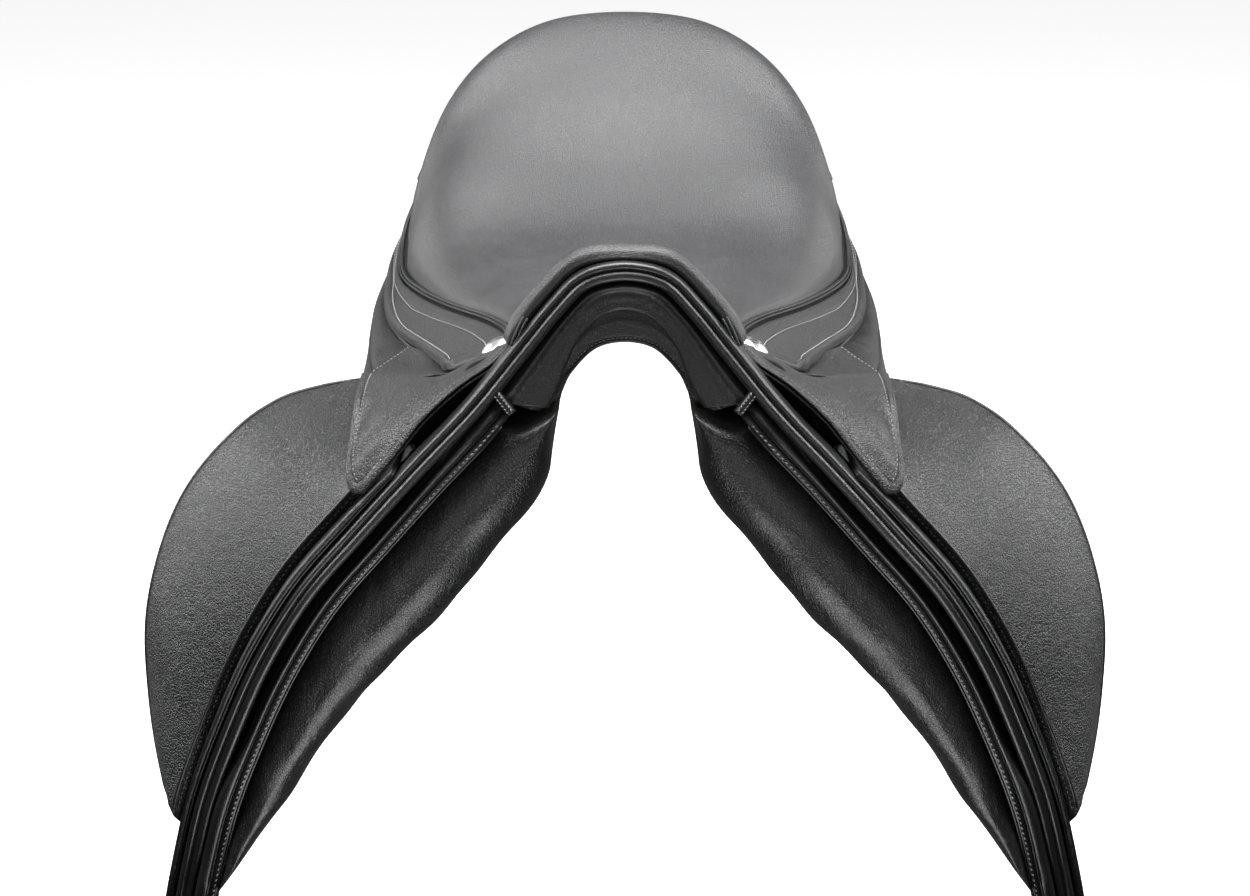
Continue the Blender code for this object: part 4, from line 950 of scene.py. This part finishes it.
# ---- panel ------------------------------------------------------------------------------
def panel_faces(a, y):
    """Upper and lower face of the panel at shares a from the channel out, at one depth y."""
    end = ramp([(-5, 8.12), (60, 8.0), (105, 6.6), (140, 4.5), (175, 3.4), (215, 2.9), (440, 2.55)], y)
    start = ramp([(0, 1.1), (60, 1.2), (445, 1.2)], y)
    lift = ramp([(236, 0), (290, 11)], y)
    bed = -4 - 1.3 - 4.5 * ramp([(12, 1), (26, 0)], y) + lift
    inner_x = float(ramp([(0, 40), (40, 38), (100, 43), (240, 45), (445, 47)], y))
    high = np.array([(inner_x, y, ramp([(0, -99), (60, -104), (240, -107), (330, -97), (445, -77)], y)),
                     (ramp([(0, 60), (70, 74), (200, 82), (300, 94), (445, 84)], y), y,
                      ramp([(0, -110), (70, -112), (200, -113), (300, -106), (445, -82)], y))], float)
    floor = [(0, -104), (50, -108), (150, -128), (240, -148), (330, -134), (445, -100)]
    low_first = np.array([inner_x + 0.6, y, ramp(floor, y)], float)
    hug = np.clip((a - SHELF) / (1 - SHELF), 0, 1)
    s = mix(start, end, hug)
    out = value(SWEAT_OUT, s / 9)
    top = side(s, np.full_like(s, y), out + bed)
    deep = np.interp(s, *zip(*PANEL_LOW))
    deep = mix(deep, np.minimum(out - 46 + lift * 0.5, out + bed - 20), ramp([(70, 0), (210, 1)], y))
    low = side(s, np.full_like(s, y), deep)
    first_top = side(start, y, value(SWEAT_OUT, start / 9) + bed)
    first_low = low[np.argmin(np.abs(a - SHELF))]
    share = np.clip(a / SHELF, 0, 1)[:, None]
    arc = curve(np.array([high[0], high[1], first_top]), share[:, 0])
    top = np.where(a[:, None] >= SHELF, top, arc)
    low = np.where(a[:, None] >= SHELF, low, low_first + (first_low - low_first) * share)
    return top, low


def make_panel(hand, word):
    """The stuffed panel: rounded front pad, flat bearing face and gusseted rear."""
    ys = np.concatenate([[-4.0, -3.8, -3.4, -2.7, -1.7, -0.4, 1.2, 3.2, 5.6, 8.4],
                         np.linspace(11.5, 425, 80), [430, 435, 439, 442.5, 445, 446.5, 447.2]])
    shares = np.concatenate([np.linspace(0, SHELF, 14)[:-1], np.linspace(SHELF, 0.93, 60),
                             [0.945, 0.958, 0.97, 0.98, 0.988, 0.994, 0.998, 1.0]])
    tops, lows = [], []
    tip = np.sqrt(np.clip(1 - np.clip((shares - 0.9) / 0.1, 0, 1) ** 2.6, 0, 1))
    for y in ys:
        p, q = panel_faces(shares, y)
        rear = math.sqrt(1 - (1 - min(max((449 - y) / 40, 0), 1)) ** 2)
        front = min(max((y + 4.05) / 46, 0), 1)
        face = math.sqrt(1 - (1 - front) ** 2.3)
        hood = math.sqrt(1 - (1 - min(max((y + 4.05) / 11, 0), 1)) ** 2)
        centre = mix(p, q, 0.45)
        k = np.maximum(hood * rear * tip, 0.04)[:, None]
        tops.append(mix(centre, p, k))
        k = np.maximum(face * rear * tip, 0.04)[:, None]
        lows.append(mix(centre, q, k))
    top, low = np.array(tops), np.array(lows)
    for _ in range(3):
        low[:, 1:-1] = (low[:, :-2] + 2 * low[:, 1:-1] + low[:, 2:]) / 4
    a, y = (shares * SHEET_LONG)[None, :], ys[:, None]
    wave = 0.5 * np.sin(a / 11 + 0.8 * np.sin(y / 9)) + 0.4 * np.sin(a / 5.7 + y / 11 + 1.7)
    wave = wave * np.exp(-((y - 8) / 40) ** 2)
    wave = wave * np.clip((a - 60) / 30, 0, 1) * np.clip((SHEET_LONG - a) / 40, 0, 1)
    low = low - outward(low, 40, 30, 2) * wave[..., None]
    top[..., 1] += 0.5 * wave * np.exp(-((y - 4) / 14) ** 2)
    obj = shell(f"panel_hide_{word}", top, low, np.full(top.shape[:2], SKIN_DEEP), 1.0, "panel", hand)
    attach(obj, "saddle")
    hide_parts(f"panel_{word}")


# ---- skirt ------------------------------------------------------------------------------
def make_skirt(hand, word):
    """The skirt: a stitched wing over the block, joined to the seat's side, and its rear layer."""
    us, vs = spaced(150, 3.0), spaced(115, 3.0)
    grid = resample(SKIRT_NET, 6, us, vs)
    n = outward(grid, 20, 12, 2)
    size_u = np.cumsum(np.linalg.norm(np.diff(grid, axis=0), axis=2), axis=0)
    size_u = np.concatenate([np.zeros((1, len(vs))), size_u])
    size_v = np.cumsum(np.linalg.norm(np.diff(grid, axis=1), axis=2), axis=1)
    size_v = np.concatenate([np.zeros((len(us), 1)), size_v], 1)
    outer_edge = size_v[:, -1:] - size_v
    rear_edge = size_u[-1:] - size_u
    edge = np.minimum(np.minimum(size_u, rear_edge), np.minimum(size_v + 2, outer_edge))
    soft = 9.0
    corner = np.clip(soft - size_u, 0, soft) ** 2 + np.clip(soft - outer_edge, 0, soft) ** 2
    hem = np.where((size_u < soft) & (outer_edge < soft), soft - np.sqrt(corner),
                   np.minimum(size_u, outer_edge))
    pull = np.clip(-hem, 0, 9)
    grid = grid + unit(grid[9, -10] - grid[0, -1]) * (pull * 1.35)[..., None]
    hem = np.maximum(hem, 0)
    edge = np.minimum(edge, hem)
    rim = 0.9 * np.exp(-((hem - 2.6) / 1.8) ** 2)
    swell = rim + 1.0 * np.clip((hem - 8) / 22, 0, 1)
    outer = grid + n * (swell[..., None] - 0.6)
    sewn = 5.4
    obj = shell(f"skirt_hide_{word}", outer, grid - n * 2.0, edge, 1.4, "skirt", hand,
                np.abs(hem - sewn))
    hinge_bend(obj)
    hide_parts(f"skirt_{word}")
    obj = shell(f"skirt_backing_{word}", grid - n * 2.9, grid - n * 4.5, edge, 0.7, "flap", hand)
    hinge_bend(obj)
    skin = Skin(outer, n, us, vs)
    u = np.linspace(0.085, 0.985, 180)
    p, out = skin.at(u, 1 - sewn / np.interp(u, us, size_v[:, -1]), 0.05)
    obj = stitches(f"skirt_hem_stitch_{word}", p, out, hand, pitch=3.3, size=1.5, width=0.34,
                   look="dull_thread")
    hinge_bend(obj)
    v = np.linspace(0.03, 0.915, 160)
    p, out = skin.at(sewn / np.interp(v, vs, size_u[-1]), v, 0.05)
    obj = stitches(f"skirt_front_stitch_{word}", p, out, hand, pitch=3.1, size=1.6, width=0.3,
                   look="dull_thread")
    hinge_bend(obj)
    us, vs = spaced(REAR_LONG, 3.5), spaced(REAR_WIDE, 3.5)
    grid = resample(SKIRT_REAR, 4, us, vs)
    n = outward(grid, 10, 8, 2)
    edge = edge_distance(us, vs, REAR_LONG, REAR_WIDE)
    lane = np.abs((1 - us)[:, None] * REAR_LONG - 4.0) + 0 * edge
    # painted shade: the rear layer takes the darker block leather so it reads as shaded under the wing's rear
    # edge
    obj = shell(f"skirt_rear_{word}", grid + n * 0.4, grid - n * 1.6, edge, 1.0, "block", hand, lane)
    hinge_bend(obj)
    skin = Skin(grid + n * 0.4, n, us, vs)
    p, out = skin.at(1 - 4.0 / REAR_LONG, np.linspace(0.04, 0.96, 60), 0.05)
    obj = stitches(f"skirt_rear_stitch_{word}", p, out, hand, pitch=2.7, size=1.7, width=0.34)
    hinge_bend(obj)


# ---- straps and hardware ----------------------------------------------------------------
def make_billets(hand, word):
    """Girth straps with punched holes and skived tips."""
    us, vs = spaced(BILLET_LONG, 2.6), spaced(BILLET_WIDE, 1.6, (0, 0.3, 0.8, 1.6))
    a, b = np.meshgrid(us, vs, indexing="ij")
    s = mix(BILLET_START, BILLET_END, a)
    across = (b - 0.5) * BILLET_WIDE * ramp([(0.965, 1.0), (1.0, 0.3)], a)
    edge = edge_distance(us, vs, BILLET_LONG, BILLET_WIDE)
    sewn = mix(BILLET_START, BILLET_END, np.linspace(0.3, 0.955, 200))
    w = np.arange(16) * math.pi / 8
    back = np.array(AHEAD) * -1
    for which, y in BILLET_Y.items():
        body = f"billet_{which}_{word}"
        obj = shell(f"billet_hide_{which}_{word}", side(s, y + across, -8.1),
                    side(s, y + across, -11.7), edge, 1.5, "roll", hand, np.abs(edge - 3.2))
        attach(obj, body)
        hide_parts(body)
        for k, off in enumerate((-9.3, 9.3)):
            path = side(sewn, y + off, -8.05)
            out = side(sewn, y + off, -7.0) - path
            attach(stitches(f"billet_stitch_{k}_{which}_{word}", path, out, hand, pitch=3.2,
                             look="dull_thread"), body)
        # painted shade: each punched hole is a shallow near-black dish on the strap, in place of the open
        # hole's depth
        for k in range(8):
            centre, out = side(8.2 + 0.36 * k, y, -8.0), side(8.2 + 0.36 * k, y, -7.0)
            out = out - centre
            down = np.cross(out, back)
            rings = [[centre + out * lift + (down * math.cos(v) + back * math.sin(v)) * r for v in w]
                     for r, lift in ((2.7, -0.4), (2.7, 0.12), (2.0, 0.12), (1.9, -0.3), (0.3, -0.3))]
            obj = tube(f"billet_hole_{k}_{which}_{word}", np.array(rings), "suede", hand, sharp=40)
            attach(obj, body)


def make_keeper(hand, word):
    """The loop on the flap for the loose end of the stirrup leather."""
    low, high = 7.4, 20.9
    ring = [(low + 0.2, 150), (low + 2.4, 146.6), (high - 2.2, 146.4), (high - 0.4, 148.5), (high, 166),
            (high - 0.4, 183.5), (high - 2.2, 185.6), (low + 2.4, 185.4), (low + 0.2, 182),
            (low + 0.1, 166)]
    outer = smooth_ring(ring, 72)
    centre = np.array([(low + high) / 2, 166.0])
    inner = centre + (outer - centre) * (0.66, 0.88)
    rings = []
    for f, t in ((0.0, 0.3), (0.02, 0.0), (0.5, -0.15), (0.98, 0.0), (1.0, 0.3), (0.98, 1.0), (0.5, 1.0),
                 (0.02, 1.0), (0.0, 0.3)):
        r = mix(outer, inner, t)
        rings.append(side(mix(6.8, 7.05, f), r[:, 1], r[:, 0]))
    rings = np.array(rings).transpose(1, 0, 2)[:, :-1]
    obj = tube(f"keeper_loop_{word}", rings, "roll", hand, caps=False)
    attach(obj, f"flap_{word}")
    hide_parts(f"keeper_{word}")


def dress_frame():
    """Better materials on the tree, webs and hardware that stay as they are."""
    starts = {"wood": ("tree_",), "web": ("web_long", "girth_web"), "flap": ("point_pocket",),
              "steel": ("stirrup_bar", "bar_rivet", "spring_steel", "head_plate", "gullet_plate"),
              "roll": ("pommel_roll",)}
    for name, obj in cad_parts.items():
        for key, names in starts.items():
            if name.startswith(names):
                for slot in obj.material_slots:
                    slot.material = LOOKS[key]


def copy_of(node, name, look, scale, shift):
    """A copy of a node's mesh, scaled about its middle and shifted, in design millimetres."""
    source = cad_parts[node].data
    points = np.array([v.co[:] for v in source.vertices]) * 1000 + ORIGIN
    middle = (points.min(axis=0) + points.max(axis=0)) / 2
    points = middle + (points - middle) * scale + shift
    return put(name, points, [tuple(f.vertices) for f in source.polygons], look)


def make_steels(hand, word):
    """The spring steel strip, laid a little deeper under the seat."""
    obj = copy_of(f"spring_steel_{word}", f"steel_strip_{word}", "steel", 1.0, (-2.5 * hand, 0, -4.0))
    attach(obj, "saddle")
    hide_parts(f"spring_steel_{word}")


def make_foam():
    """The seat foam, drawn in a little so that it stays under its cover."""
    obj = copy_of("seat_foam", "seat_foam_core", "suede", (0.95, 0.98, 1.0), (0, 0, -4.0))
    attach(obj, "saddle")
    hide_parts("seat_foam")


def hinge_bend(obj):
    """Bakes a piece's placement into its mesh."""
    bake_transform(obj)


def make_gusset(hand, word):
    """The padded gusset that closes the panel to the seat, round to the cantle."""
    us = np.concatenate([[0, 0.005, 0.012], np.linspace(0.02, 0.98, 110), [0.988, 0.995, 1.0]])
    vs = np.concatenate([[0, 0.02, 0.05], np.linspace(0.09, 0.91, 26), [0.95, 0.98, 1.0]])
    grid = resample(GUSSET, 5, us, vs)
    n = outward(grid, 60, 14, 0)
    edge = edge_distance(us, vs, GUSSET_LONG, GUSSET_WIDE)
    grid = grid - (GUSSET_IN, 0, 0)
    lane = np.abs((vs - 0.5) * GUSSET_WIDE)[None, :] + 0 * edge
    puff = (1.8 * np.sin(math.pi * vs) ** 0.7)[None, :] - 1.0 * np.exp(-(lane / 1.6) ** 2)
    obj = shell(f"panel_gusset_{word}", grid + n * puff[..., None], grid - n * 3, edge, 1.6, "panel",
                hand, lane)
    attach(obj, "saddle")
    for k in range(2):
        path = resample(GUSSET, 5, np.linspace(0.01, 0.99, 160), np.array([float(k)]))[:, 0]
        path = path - (GUSSET_IN, 0, 0)
        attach(cordage(f"gusset_welt_{k}_{word}", path, 1.2, "roll", hand), "saddle")


def make_curtain(hand, word):
    """Near-black sheet behind the rolled edge that closes the flap's top to the skirt: painted shade in that
    gap.
    """
    s = np.linspace(0.66, 2.35, 40)[:, None]
    high = ramp([(0.62, 3), (0.85, 8), (1.2, 9), (1.6, 7), (2.35, 5)], s)
    t = np.linspace(0, 1, 8)[None, :]
    grid = side(s, 24.0, mix(-3.0, high, t))
    grid[..., 1] = 22.5 + 3.5 * t
    square = np.full(grid.shape[:2], SKIN_DEEP)
    # painted shade: the sheet takes the near-black look so that the gap behind the rolled edge reads as
    # shadow
    obj = shell(f"flap_top_{word}", grid, grid + (0, 2.0, 0), square, 1.0, "suede", hand)
    hinge_bend(obj)


# ---- stage ------------------------------------------------------------------------------
def light(name, place, aim, size, energy):
    """A soft area light that looks at a point."""
    data = bpy.data.lights.new(name, "AREA")
    data.shape = "RECTANGLE"
    data.size, data.size_y = size
    data.energy = energy
    obj = bpy.data.objects.new(name, data)
    obj.location = place
    obj.rotation_mode = "QUATERNION"
    obj.rotation_quaternion = (Vector(aim) - Vector(place)).to_track_quat("-Z", "Y")
    bpy.context.scene.collection.objects.link(obj)
    return obj


def make_stage():
    """Pale floor, even pale surroundings, soft lights and the camera."""
    z = cad_box[0][2] - FLOOR_DROP
    mesh = bpy.data.meshes.new("floor")
    mesh.from_pydata([(-20, -20, z), (20, -20, z), (20, 30, z), (-20, 30, z)], [], [(0, 1, 2, 3)])
    n = Nodes("floor_pale")
    n.set(n.shader, Base_Color=(0.8, 0.8, 0.8, 1), Roughness=0.9, Specular_IOR_Level=0.1,
          Emission_Color=(1, 1, 1, 1), Emission_Strength=0.82)
    mesh.materials.append(n.made)
    floor = bpy.data.objects.new("floor", mesh)
    bpy.context.scene.collection.objects.link(floor)
    floor.visible_diffuse = False
    floor.visible_glossy = False
    world = bpy.data.worlds.new("studio")
    world.use_nodes = True
    background = world.node_tree.nodes["Background"]
    background.inputs["Color"].default_value = (1, 1, 1, 1)
    background.inputs["Strength"].default_value = 0.05
    bpy.context.scene.world = world
    light("overhead", (0.0, -0.05, 1.5), (0, 0, 0), (1.3, 1.0), 62)
    for hand, word in HANDS:
        light(f"{word}_key", (1.45 * hand, -0.5, 1.2), (0.1 * hand, 0, -0.1), (0.6, 1.0), 36)
        light(f"{word}_rim", (1.6 * hand, 1.0, 0.5), (0.1 * hand, 0, -0.1), (0.8, 1.2), 17)
    light("low_front", (0.0, -1.75, -0.2), (0, 0, -0.1), (1.5, 0.25), 3.5)
    light("under", (0.0, -0.44, -0.43), (0, -0.1, 0.2), (0.2, 0.4), 1.5).visible_camera = False
    data = bpy.data.cameras.new("camera")
    data.sensor_width = 36
    data.lens = 111.2
    data.dof.use_dof = False
    data.clip_start = 0.05
    camera = bpy.data.objects.new("camera", data)
    camera.location = (0.0, -2.3853, 0.5714)
    camera.rotation_euler = (math.radians(75), 0, 0)
    bpy.context.scene.collection.objects.link(camera)
    bpy.context.scene.camera = camera
    bpy.context.scene.view_settings.view_transform = "Standard"


make_looks()
SPINE = spine()
make_stage()
dress_frame()
make_seat()
make_cantle()
make_facing()
make_gullet_lining()
make_foam()
for hand, word in HANDS:
    for make in (make_seat_side, make_pommel_bits, make_edge_roll, make_flap, make_block,
                 make_sweat_flap, make_panel, make_skirt, make_gusset, make_curtain, make_billets,
                 make_keeper, make_steels):
        make(hand, word)
